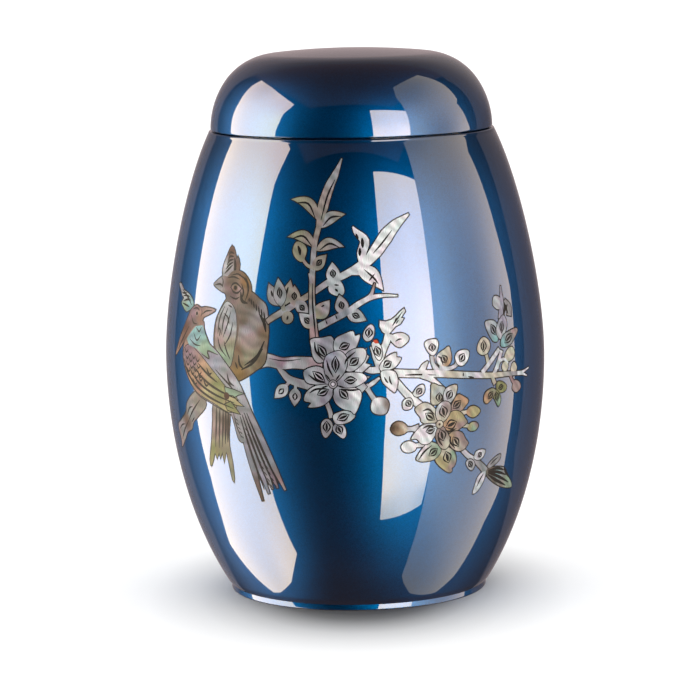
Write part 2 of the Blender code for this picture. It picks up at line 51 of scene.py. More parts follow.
FOOT_HEIGHT = 0.0048
FOOT_COVE = 0.0020
EDGE_ROUND = 0.0008
WALL = 0.0040
FLOOR = 0.0060
FLOOR_FILLET = 0.0060
MOUTH_RADIUS = 0.0625
MOUTH_DEPTH = 0.0090
BASE_FULLNESS = 0.36
BELLY_FULLNESS_BELOW = 0.31
BELLY_FULLNESS_ABOVE = 0.275
SHOULDER_FULLNESS = 0.278
LID_RADIUS = 0.0665
LID_GAP = 0.0004
LID_SIDE_RADIUS = 0.0395
LID_SIDE_SWEEP = 34.7
LID_CORNER_RADIUS = 0.0299
LID_CORNER_SWEEP = 83.9
LID_WALL = 0.0035
SKIRT_CLEARANCE = 0.0006
SKIRT_WALL = 0.0025
SKIRT_DEPTH = 0.0070
SKIRT_ROOT = 0.0030

# Mesh density
SEGMENTS = 288
BARREL_STEPS = 80
LID_STEPS = (24, 40, 24)
ROUND_STEPS = 6
FILLET_STEPS = 8
CREASE_DEGREES = 28
DISC_SIDES = 16
CURVE_STEPS = 4
LEAF_STEPS = 9

# The picture: its motifs are drawn in tenths of a millimetre, and its other sizes are in millimetres
MM = 0.001
TENTHS = 10
SHELL_GRID = 1.2
GRID_CLEARANCE = 0.45
SHELL_LIFT = 0.010
LEVEL_LIFT = 0.006
RIM_WIDTH = 0.55
SEAM_WIDTH = 0.40
LEAF_FULLNESS = 0.8
STROKE_GAIN = 1.6
STROKE_TAPER = 0.3
RIB_STROKE, RIB_FROM, RIB_TO = 0.6, 0.14, 0.84
EYE_STROKE, EYE_FROM, EYE_TO = 0.5, 0.28, 0.68
EYE_SHARE, EYE_BOW = 0.36, 0.8
DASH_LEAST, DASH_SHARE, DASH_FROM, DASH_TO = 2.0, 0.24, 0.18, 0.84
SHELL, LINE = 0, 1

# The lacquer's flake colour, and the painted shade that darkens it at shares of the whole height: towards
# the shoulder, less at the lid's rim, and towards the crown
LACQUER_COLOUR = (0.0, 0.029, 0.108)
LACQUER_PAINTED_SHADE = (
    (0.72, 1.0), (1.0, 0.6), (0.82, 0.55), (0.852, 0.45), (0.856, 0.9), (0.90, 0.85), (0.95, 0.55))

# The shell's pink and green clouding
SHELL_CLOUDS = ((0.30, (1.06, 0.90, 0.96)), (0.70, (0.88, 1.00, 0.95)), (0.5, (1.08, 1.07, 1.04)))

# How brightly the studio lights the shell, and the shell's tones as they look in that light
SHELL_FILL = 1.22
TONES = {
    "edge": (10, 9, 15), "umber": (62, 44, 38), "rust": (196, 70, 44),
    "white": (240, 239, 241), "pearl": (212, 212, 218), "cloud": (182, 183, 188),
    "silver": (150, 148, 152), "steel": (140, 140, 150), "cream": (200, 193, 176),
    "beige": (142, 134, 126), "olive": (142, 140, 118), "moss": (140, 142, 100),
    "mint": (142, 164, 142), "aqua": (136, 174, 178), "straw": (178, 168, 128),
    "peach": (184, 150, 122), "salmon": (150, 120, 108), "rose": (158, 138, 136),
    "pink": (180, 152, 160), "mauve": (134, 112, 124), "lavender": (158, 156, 172),
    "dusk": (104, 90, 92), "taupe": (100, 86, 78), "bronze": (116, 98, 80),
    "gold_brown": (128, 102, 66), "brown": (100, 78, 70),
}

# The studio, in metres: a soft shadow painted on the floor round the foot, narrower from front to back, a
# floor that turns greyer well in front, the key light, and the photograph's view
FLOOR_REACH = 12.0
SHADE_REACH = 0.1
SHADE_SQUEEZE = (1.0, 0.625, 1.0)
SHADE_SHIFT = (0.0, 0.0125, 0.0)
SHADE_LEVELS = (
    (0.30, 0.16), (1.0, 0.92), (0.37, 0.24), (0.47, 0.47), (0.55, 0.64), (0.64, 0.74), (0.76, 0.83))
GREY_FROM, GREY_TO, GREY_LEVEL = -0.35, -1.4, 0.62
KEY_STRENGTH, KEY_SPREAD, KEY_LEAN = 1.6, 60, -4
WORLD_FILL = 0.86
CAMERA_PLACE = (0.0, -1.6036, 0.3442)
CAMERA_PITCH, CAMERA_YAW, CAMERA_ROLL = 8.19, -0.087, -0.973
CAMERA_LENS = 174.9
PANEL_GRID, BROAD_GRID = 0.12, 0.5
SIDE_DISTANCE, FRONT_DISTANCE, BACK_DISTANCE = 0.8, 1.0, 1.5
CEILING_HEIGHT, TABLE_HEIGHT = 2.6, -1.7
X_AXIS, Y_AXIS, Z_AXIS = (1, 0, 0), (0, 1, 0), (0, 0, 1)


def arc(centre, radius, start, end, steps):
    """Points on an arc in the profile's plane; angles in degrees from +R towards +Z."""
    angles = [math.radians(start + (end - start) * i / steps) for i in range(steps + 1)]
    return [
        Vector((centre[0] + radius * math.cos(a), centre[1] + radius * math.sin(a)))
        for a in angles
    ]


def heading(degrees, length):
    """A step of the given length that leans outwards from straight up."""
    return Vector((math.sin(math.radians(degrees)), math.cos(math.radians(degrees)))) * length


def barrel_curve(steps):
    """The barrel's outer side, from just above the foot to just under the rim."""
    base = Vector((BASE_RADIUS, FOOT_HEIGHT))
    belly = Vector((BELLY_RADIUS, BELLY_HEIGHT))
    top = Vector((SHOULDER_RADIUS, SEAM_HEIGHT - EDGE_ROUND))
    low = belly.y - base.y
    high = top.y - belly.y
    below = interpolate_bezier(
        base, base + heading(BASE_FLARE, low * BASE_FULLNESS),
        belly - heading(0, low * BELLY_FULLNESS_BELOW), belly, steps + 1)
    above = interpolate_bezier(
        belly, belly + heading(0, high * BELLY_FULLNESS_ABOVE),
        top - heading(-SHOULDER_LEAN, high * SHOULDER_FULLNESS), top, steps + 1)
    return list(below) + list(above)[1:]


BARREL = barrel_curve(BARREL_STEPS)


def radius_at(height, curve):
    """The radius at a height on a curve that runs upwards."""
    for low, high in zip(curve, curve[1:]):
        if height <= high.y:
            share = (height - low.y) / (high.y - low.y)
            return low.x + (high.x - low.x) * share
    return curve[-1].x


def offset_inwards(curve, distance):
    """The same curve, moved towards the axis side by a wall's thickness."""
    moved = []
    for i, point in enumerate(curve):
        along = (curve[min(i + 1, len(curve) - 1)] - curve[max(i - 1, 0)]).normalized()
        moved.append(point - Vector((along.y, -along.x)) * distance)
    return moved


def body_profile():
    """The body's section from the middle of its underside to the middle of its inner floor."""
    foot = [Vector((0.0, 0.0))]
    foot += arc((FOOT_RADIUS - EDGE_ROUND, EDGE_ROUND), EDGE_ROUND, -90, 0, ROUND_STEPS)
    foot.append(Vector((FOOT_RADIUS, FOOT_HEIGHT - FOOT_COVE)))
    rim = arc(
        (SHOULDER_RADIUS - EDGE_ROUND, SEAM_HEIGHT - EDGE_ROUND), EDGE_ROUND, 0, 90, ROUND_STEPS)[1:]
    mouth = [
        Vector((MOUTH_RADIUS + EDGE_ROUND, SEAM_HEIGHT)),
        Vector((MOUTH_RADIUS, SEAM_HEIGHT - EDGE_ROUND)),
        Vector((MOUTH_RADIUS, SEAM_HEIGHT - MOUTH_DEPTH)),
    ]
    lowest = FLOOR + FLOOR_FILLET
    highest = SEAM_HEIGHT - MOUTH_DEPTH - WALL
    wall = offset_inwards(barrel_curve(BARREL_STEPS // 4), WALL)
    corner = radius_at(lowest, wall)
    inside = [Vector((radius_at(highest, wall), highest))]
    inside += [p for p in reversed(wall) if lowest + EDGE_ROUND < p.y < highest - EDGE_ROUND]
    fillet = arc((corner - FLOOR_FILLET, lowest), FLOOR_FILLET, 0, -90, FILLET_STEPS)
    return foot + BARREL + rim + mouth + inside + fillet + [Vector((0.0, FLOOR))]


def lid_arcs():
    """Centre, radius, start and end of the lid's three outer arcs, from the rim to the crown."""
    start = Vector((LID_RADIUS, SEAM_HEIGHT + LID_GAP))
    side = start - Vector((LID_SIDE_RADIUS, 0.0))
    turn = math.radians(LID_SIDE_SWEEP)
    step = LID_SIDE_RADIUS - LID_CORNER_RADIUS
    corner = side + Vector((math.cos(turn), math.sin(turn))) * step
    turn = math.radians(LID_CORNER_SWEEP)
    crown_radius = LID_CORNER_RADIUS + corner.x / math.cos(turn)
    crown = Vector((0.0, corner.y - corner.x * math.tan(turn)))
    return [
        (side, LID_SIDE_RADIUS, 0.0, LID_SIDE_SWEEP),
        (corner, LID_CORNER_RADIUS, LID_SIDE_SWEEP, LID_CORNER_SWEEP),
        (crown, crown_radius, LID_CORNER_SWEEP, 90.0),
    ]


def lid_curve(inset):
    """The lid's dome at some depth under its outer surface, from the rim to the axis."""
    points = []
    for (centre, radius, start, end), steps in zip(lid_arcs(), LID_STEPS):
        points += arc(centre, radius - inset, start, end, steps)[1 if points else 0:]
    return points


def lid_profile():
    """The lid's section from the top of its crown round the rim and skirt to its inner crown."""
    seat = SEAM_HEIGHT + LID_GAP
    skirt = MOUTH_RADIUS - SKIRT_CLEARANCE
    outside = [p for p in reversed(lid_curve(0.0)) if p.y > seat + EDGE_ROUND]
    rim = arc((LID_RADIUS - EDGE_ROUND, seat + EDGE_ROUND), EDGE_ROUND, 0, -90, ROUND_STEPS)
    ring = [
        Vector((skirt, seat)),
        Vector((skirt, seat - SKIRT_DEPTH + EDGE_ROUND)),
        Vector((skirt - EDGE_ROUND, seat - SKIRT_DEPTH)),
        Vector((skirt - SKIRT_WALL, seat - SKIRT_DEPTH)),
        Vector((skirt - SKIRT_WALL, seat + SKIRT_ROOT)),
    ]
    slope = LID_RADIUS - LID_WALL - (skirt - SKIRT_WALL)
    inside = [p for p in lid_curve(LID_WALL) if p.y > seat + SKIRT_ROOT + slope]
    return outside + rim + ring + inside


def scene_object(name, data):
    """A new object in the scene."""
    made = bpy.data.objects.new(name, data)
    bpy.context.scene.collection.objects.link(made)
    return made


def mesh_object(name, verts, faces, *finishes):
    """A new mesh object with its materials."""
    mesh = bpy.data.meshes.new(name)
    mesh.from_pydata(verts, [], faces)
    for finish in finishes:
        mesh.materials.append(finish)
    return scene_object(name, mesh)


def paint(mesh, layer, colours):
    """Gives each vertex its colour in a named layer."""
    spots = mesh.color_attributes.new(layer, "FLOAT_COLOR", "POINT").data
    for spot, colour in zip(spots, colours):
        spot.color = (*colour, 1.0)


def turned(name, profile, finish):
    """A finely divided solid of revolution from a section that starts and ends on the axis."""
    middle = profile[1:-1]
    verts = [(0.0, 0.0, profile[0].y), (0.0, 0.0, profile[-1].y)]
    for i in range(SEGMENTS):
        angle = 2 * math.pi * i / SEGMENTS
        verts += [(p.x * math.cos(angle), p.x * math.sin(angle), p.y) for p in middle]
    count = len(middle)
    faces = []
    for i in range(SEGMENTS):
        here = 2 + i * count
        there = 2 + (i + 1) % SEGMENTS * count
        faces.append((0, there, here))
        faces += [(here + k, there + k, there + k + 1, here + k + 1) for k in range(count - 1)]
        faces.append((1, here + count - 1, there + count - 1))
    if profile[0].y > profile[-1].y:
        faces = [face[::-1] for face in faces]
    made = mesh_object(name, verts, faces, finish)
    made.data.shade_smooth()
    made.data.set_sharp_from_angle(angle=math.radians(CREASE_DEGREES))
    return made


def linear(colour):
    """A colour typed as 0 to 255 screen values, in the linear values that a shader takes."""
    return [(c / 255 / 12.92) if c <= 10 else ((c / 255 + 0.055) / 1.055) ** 2.4 for c in colour]


def put(tree, made, **values):
    """Sets a node's properties and inputs by name; the output of another node is linked."""
    for key, value in values.items():
        if key.islower():
            setattr(made, key, value)
        elif isinstance(value, bpy.types.NodeSocket):
            tree.links.new(value, made.inputs[key.replace("_", " ")])
        else:
            made.inputs[key.replace("_", " ")].default_value = value
    return made


def node(tree, kind, output, *feeds, **values):
    """An output of a new shader node, its first inputs fed in turn and others set by name."""
    made = put(tree, tree.nodes.new("ShaderNode" + kind), **values)
    for socket, feed in zip(made.inputs, feeds):
        tree.links.new(feed, socket)
    return made.outputs[output]


def times(tree, one, other):
    """The product of two values."""
    return node(tree, "Math", "Value", one, other, operation="MULTIPLY")


def scaled(tree, colour, factor):
    """A colour made lighter or darker by a factor."""
    return node(tree, "VectorMath", "Vector", operation="SCALE", Vector=colour, Scale=factor)


def between(tree, value, low, high, start=0.0, end=1.0):
    """A value that runs from low to high while another runs from start to end."""
    return node(
        tree, "MapRange", "Result", value, From_Min=start, From_Max=end, To_Min=low, To_Max=high)


def ramp(tree, value, stops):
    """A colour or a grey level by a value; the first two stops are the ramp's own."""
    made = tree.nodes.new("ShaderNodeValToRGB")
    elements = made.color_ramp.elements
    for i, (position, level) in enumerate(stops):
        stop = elements[i] if i < 2 else elements.new(position)
        stop.position = position
        stop.color = (*level, 1.0) if isinstance(level, tuple) else (level, level, level, 1.0)
    tree.links.new(value, made.inputs["Fac"])
    return made.outputs["Color"]


def new_material(name):
    """A node material, its tree and its Principled shader."""
    made = bpy.data.materials.new(name)
    made.use_nodes = True
    return made, made.node_tree, made.node_tree.nodes["Principled BSDF"]


def lacquer_material():
    """Deep blue metallic flake under a hard clear coat, with painted shade that darkens it towards the
    shoulder and the crown.
    """
    made, tree, shader = new_material("blue_flake_lacquer")
    place = node(tree, "TexCoord", "Object")
    sparkle = between(tree, node(tree, "TexVoronoi", "Color", place, Scale=2600.0), 0.72, 1.28)
    drift = node(tree, "TexNoise", "Fac", place, Scale=14.0, Detail=3.0)
    height = node(tree, "SeparateXYZ", "Z", place)
    # Painted shade: the flake is darkened by height, towards the shoulder and the crown and less at the
    # lid's rim; flake below is the sparkle and drift times this painted shade
    painted_shade = ramp(tree, between(tree, height, 0.0, 1.0, 0.0, CROWN_HEIGHT), LACQUER_PAINTED_SHADE)
    flake = times(tree, times(tree, sparkle, between(tree, drift, 0.92, 1.08, 0.3, 0.7)), painted_shade)
    put(tree, shader, Base_Color=scaled(tree, LACQUER_COLOUR, flake), Metallic=1.0, Roughness=0.46,
        Coat_Weight=1.0, Coat_Roughness=0.012, Coat_IOR=1.5)
    return made


def studio_floor():
    """A plain floor, white behind the urn and greyer well in front, with a soft shadow painted round the
    foot; no reflection sees it.
    """
    made, tree, shader = new_material("studio_floor")
    place = node(tree, "TexCoord", "Object")
    squeezed = node(tree, "Mapping", "Vector", place, Location=SHADE_SHIFT, Scale=SHADE_SQUEEZE)
    away = node(tree, "VectorMath", "Value", squeezed, operation="LENGTH")
    # Painted shadow: the floor's colour darkens towards the foot, by SHADE_LEVELS over SHADE_REACH
    shade = ramp(tree, between(tree, away, 0.0, 1.0, 0.0, SHADE_REACH), SHADE_LEVELS)
    depth = node(tree, "SeparateXYZ", "Y", place)
    pattern = node(tree, "TexNoise", "Fac", Scale=300.0)
    put(tree, shader,
        Base_Color=scaled(tree, shade, between(tree, depth, 1.0, GREY_LEVEL, GREY_FROM, GREY_TO)),
        Roughness=0.9, Specular_IOR_Level=0.0,
        Normal=node(tree, "Bump", "Normal", Strength=0.02, Distance=0.0002, Height=pattern))
    corners = [(FLOOR_REACH * x, FLOOR_REACH * y, 0.0) for x, y in ((-1, -1), (1, -1), (1, 1), (-1, 1))]
    floor = mesh_object("floor", corners, [(0, 1, 2, 3)], made)
    floor.visible_glossy = False


def blended(point, washes):
    """A value at a point from values at a few places, each weighted by its nearness."""
    total, result = 0.0, [0.0] * len(washes[0][1])
    for place, value in washes:
        weight = 1.0 / ((point - Vector(place)).length_squared + 1e-6) ** 1.5
        total += weight
        result = [r + v * weight for r, v in zip(result, value)]
    return [r / total for r in result]


def sides(outline):
    """Each side of a closed outline, by its two ends."""
    return zip(outline, outline[1:] + outline[:1])


def is_inside(point, outline):
    """Whether a flat point lies inside an outline."""
    inside = False
    for a, b in sides(outline):
        if (a.y > point.y) != (b.y > point.y):
            if a.x + (point.y - a.y) / (b.y - a.y) * (b.x - a.x) > point.x:
                inside = not inside
    return inside


def divided(outline, grid):
    """The outline with its long sides split evenly."""
    split = []
    for a, b in sides(outline):
        count = max(1, math.ceil((b - a).length / grid))
        split += [a.lerp(b, i / count) for i in range(count)]
    return split


def extent(outline):
    """The outline's least and greatest place along the girth and up the barrel."""
    xs, ys = [p.x for p in outline], [p.y for p in outline]
    return min(xs), max(xs), min(ys), max(ys)


def filled(outline, grid):
    """Points and triangles that fill a flat outline with an even grid."""
    rim = divided(outline, grid)
    points = list(rim)
    left, right, low, high = extent(rim)
    for i in range(math.ceil(left / grid), math.floor(right / grid) + 1):
        for j in range(math.ceil(low / grid), math.floor(high / grid) + 1):
            point = Vector((i * grid, j * grid))
            if is_inside(point, rim) and min((point - p).length for p in rim) > grid * GRID_CLEARANCE:
                points.append(point)
    out, _, triangles, _, _, _ = delaunay_2d_cdt(points, [], [list(range(len(rim)))], 1, 1e-5)
    return out, triangles


def panel(name, outline, place, across, up, washes, grid=PANEL_GRID):
    """A glowing studio panel that only reflections see: a flat outline in its own axes."""
    made = bpy.data.materials.new(name)
    made.use_nodes = True
    tree = made.node_tree
    tree.nodes.clear()
    glow = node(tree, "Emission", "Emission", node(tree, "VertexColor", "Color", layer_name="glow"))
    put(tree, tree.nodes.new("ShaderNodeOutputMaterial"), Surface=glow)
    points, triangles = filled([Vector(p) for p in outline], grid)
    place, across, up = Vector(place), Vector(across), Vector(up)
    item = mesh_object(name, [place + across * p.x + up * p.y for p in points], triangles, made)
    paint(item.data, "glow", [blended(p, washes) for p in points])
    for rays in ("camera", "diffuse", "transmission", "shadow"):
        setattr(item, "visible_" + rays, False)


def studio_panels():
    """Tall white panel on the left, bright strip in front on the right, dim panel on the right.

    A faint wall behind the camera, a ceiling and a table fill the reflections between them.
    """
    panel(
        "panel_left",
        [(0.48, 1.07), (-0.59, 0.93), (-0.56, 0.80), (-0.49, 0.62), (-0.47, 0.44), (-0.432, 0.27),
         (-0.402, 0.0), (-0.41, -0.11), (-0.49, -0.29), (-0.485, -0.51), (-0.534, -1.04),
         (-0.155, -1.11), (0.147, -1.02), (0.264, -0.95), (0.46, -0.53), (0.35, -0.41),
         (0.29, -0.28), (0.31, -0.12), (0.315, 0.16), (0.316, 0.24), (0.33, 0.54)],
        (-SIDE_DISTANCE, 0, 0), Y_AXIS, Z_AXIS,
        [((-0.45, 0.3), (15.4, 14.2, 10.2)), ((0.3, 0.2), (12.0, 9.6, 7.0)),
         ((-0.45, -0.9), (14.0, 11.0, 7.8)), ((0.2, -0.8), (9.4, 7.7, 5.9)),
         ((-0.5, 0.9), (12.8, 9.9, 8.2)), ((0.3, 1.0), (8.0, 6.3, 5.3))])
    panel(
        "panel_strip",
        [(0.29, 0.85), (1.11, 0.96), (1.18, 0.85), (1.125, 0.47), (1.118, 0.16), (1.09, -0.65),
         (1.04, -0.99), (0.296, -0.86), (0.295, -0.34), (0.316, -0.12), (0.30, 0.36), (0.292, 0.6)],
        (0, -FRONT_DISTANCE, 0), X_AXIS, Z_AXIS,
        [((0.35, 0.1), (19.4, 15.2, 11.4)), ((1.0, 0.1), (21.6, 17.0, 12.8)),
         ((0.35, 0.7), (12.8, 11.2, 9.6)), ((1.0, 0.8), (14.0, 12.0, 10.2)),
         ((0.35, -0.5), (17.6, 14.4, 9.6)), ((1.0, -0.6), (16.4, 13.6, 9.4)),
         ((0.35, -0.9), (9.4, 8.8, 7.0)), ((1.0, -0.95), (9.4, 8.8, 7.0))])
    panel(
        "panel_right",
        [(-0.745, -0.88), (-0.741, -1.25), (-0.677, -1.76), (-0.259, -1.57), (0.15, -1.06),
         (0.232, -0.80), (0.231, -0.46), (0.289, -0.34), (0.25, -0.20), (0.243, 0.07),
         (0.271, 0.18), (0.218, 0.29), (0.187, 0.41), (0.159, 0.52), (0.217, 0.57), (0.289, 1.0),
         (0.388, 1.54), (-0.56, 1.71), (-0.76, 1.30), (-0.74, 0.65), (-0.748, 0.17)],
        (SIDE_DISTANCE, 0, 0), Y_AXIS, Z_AXIS,
        [((-0.7, 0.1), (4.5, 4.0, 2.6)), ((-0.2, 0.1), (2.5, 2.0, 1.5)), ((0.22, 0.1), (5.2, 4.2, 3.3)),
         ((-0.5, -1.2), (2.0, 1.8, 1.5)), ((-0.4, 1.3), (1.9, 1.75, 1.55))])
    panel(
        "panel_back", [(-1.3, -0.9), (2.4, -0.9), (2.4, 2.3), (-1.3, 2.3)],
        (0, BACK_DISTANCE, 0), X_AXIS, Z_AXIS,
        [((-1.0, 0.0), (0.28, 0.25, 0.27)), ((1.0, 0.0), (0.17, 0.14, 0.15)),
         ((0.0, 0.45), (0.50, 0.40, 0.40)), ((-0.5, 0.8), (0.34, 0.28, 0.29)),
         ((0.5, 0.8), (0.42, 0.36, 0.35)), ((0.0, 2.0), (0.24, 0.20, 0.20))])
    panel(
        "panel_ceiling", [(-2.2, -2.8), (2.2, -2.8), (2.2, 2.2), (-2.2, 2.2)],
        (0, 0, CEILING_HEIGHT), X_AXIS, Y_AXIS, [((0.0, 0.0), (0.24, 0.15, 0.13))], BROAD_GRID)
    faint = (0.02, 0.02, 0.02)
    panel(
        "panel_table", [(-5.0, -5.0), (5.0, -5.0), (5.0, 5.0), (-5.0, 5.0)],
        (0, 0, TABLE_HEIGHT), X_AXIS, Y_AXIS,
        [((0.0, -0.6), (0.26, 0.16, 0.13)), ((0.0, -2.0), (0.12, 0.07, 0.06)),
         ((0.0, -3.0), (0.03, 0.02, 0.02)), ((0.0, -4.8), faint), ((-4.0, 0.0), faint),
         ((4.0, 0.0), faint), ((0.0, 4.0), faint)], BROAD_GRID)


def key_light():
    """A broad soft light from above, for the floor and the shell, not in reflections."""
    data = bpy.data.lights.new("key", "SUN")
    data.energy = KEY_STRENGTH
    data.angle = math.radians(KEY_SPREAD)
    item = scene_object("key", data)
    item.rotation_euler = (math.radians(KEY_LEAN), 0.0, 0.0)
    item.visible_glossy = False


def studio_world():
    """White to the camera and as soft fill; reflections don't see it."""
    world = bpy.data.worlds.new("studio")
    bpy.context.scene.world = world
    world.use_nodes = True
    tree = world.node_tree
    level = between(tree, node(tree, "LightPath", "Is Camera Ray"), WORLD_FILL, 1.0)
    put(tree, tree.nodes["Background"], Strength=level, Color=(1.0, 1.0, 1.0, 1.0))
    world.cycles_visibility.glossy = False


def studio_camera():
    """The photograph's view: slightly above the urn's middle, with a long lens."""
    pitch, yaw, roll = (math.radians(a) for a in (CAMERA_PITCH, CAMERA_YAW, CAMERA_ROLL))
    ahead = Vector((math.sin(yaw) * math.cos(pitch), math.cos(yaw) * math.cos(pitch), -math.sin(pitch)))
    right = Vector((math.cos(yaw), -math.sin(yaw), 0.0))
    up = right.cross(ahead)
    rolled_right = right * math.cos(roll) + up * math.sin(roll)
    rolled_up = up * math.cos(roll) - right * math.sin(roll)
    data = bpy.data.cameras.new("camera")
    data.sensor_width = 36.0
    data.lens = CAMERA_LENS
    item = scene_object("camera", data)
    turn = Matrix((rolled_right, rolled_up, -ahead)).transposed().to_4x4()
    item.matrix_world = Matrix.Translation(CAMERA_PLACE) @ turn
    bpy.context.scene.camera = item


def flow(chain, steps):
    """Points on a smooth curve through a chain's inner points, without the last."""
    curve = []
    for before, here, ahead, after in zip(chain, chain[1:], chain[2:], chain[3:]):
        leaving, arriving = (ahead - before) / 6, (after - here) / 6
        curve += interpolate_bezier(here, here + leaving, ahead - arriving, ahead, steps + 1)[:-1]
    return curve


def rounded(points, steps):
    """A closed curve that passes smoothly through a few points."""
    return flow(points[-1:] + points + points[:2], steps)


def ribbon(points, widths):
    """A strip along a smooth chain; its width runs evenly through a few widths."""
    first, last = points[0] * 2 - points[1], points[-1] * 2 - points[-2]
    chain = flow([first, *points, last], CURVE_STEPS) + points[-1:]
    left, right = [], []
    for i, point in enumerate(chain):
        along = chain[min(i + 1, len(chain) - 1)] - chain[max(i - 1, 0)]
        side = Vector((-along.y, along.x)).normalized()
        place = i / (len(chain) - 1) * (len(widths) - 1)
        step = min(int(place), len(widths) - 2)
        half = (widths[step] + (widths[step + 1] - widths[step]) * (place - step)) / 2
        left.append(point + side * half)
        right.append(point - side * half)
    return right + left[::-1]


def leaf_shape(base, tip, width, bow):
    """Outline of a pointed leaf; its midrib bows to the left by a share of its length."""
    along = tip - base
    left = Vector((-along.y, along.x)).normalized()
    one, other = [], []
    for i in range(1, LEAF_STEPS + 1):
        share = i / (LEAF_STEPS + 1)
        rib = base + along * share + left * along.length * bow * 4 * share * (1 - share)
        half = width / 2 * math.sin(math.pi * share ** LEAF_FULLNESS)
        one.append(rib - left * half)
        other.append(rib + left * half)
    return [base] + one + [tip] + other[::-1]


def anticlockwise(outline):
    """The outline, turned round if it runs clockwise."""
    area = sum(a.x * b.y - b.x * a.y for a, b in sides(outline))
    return outline if area > 0 else outline[::-1]


def grown(outline, distance):
    """The outline, moved outwards; a sharp corner moves at most twice the distance."""
    moved = []
    for i, point in enumerate(outline):
        into = (point - outline[i - 1]).normalized()
        out = (outline[(i + 1) % len(outline)] - point).normalized()
        normal = Vector((into.y + out.y, -into.x - out.x)).normalized()
        spread = max(0.5, normal.dot(Vector((into.y, -into.x))))
        moved.append(point + normal * distance / spread)
    return moved


def on_skin(point, lift):
    """The place of a flat point, in millimetres, when the picture is wrapped round the barrel."""
    height = point.y * MM
    radius = radius_at(height, BARREL) + lift * MM
    angle = point.x * MM / BELLY_RADIUS
    return (radius * math.sin(angle), -radius * math.cos(angle), height)


def stacked_under(box, laid):
    """The highest level among laid marks whose extents meet a box."""
    return max((
        level for (x0, x1, y0, y1), level in laid
        if x0 < box[1] and box[0] < x1 and y0 < box[3] and box[2] < y1
    ), default=0)


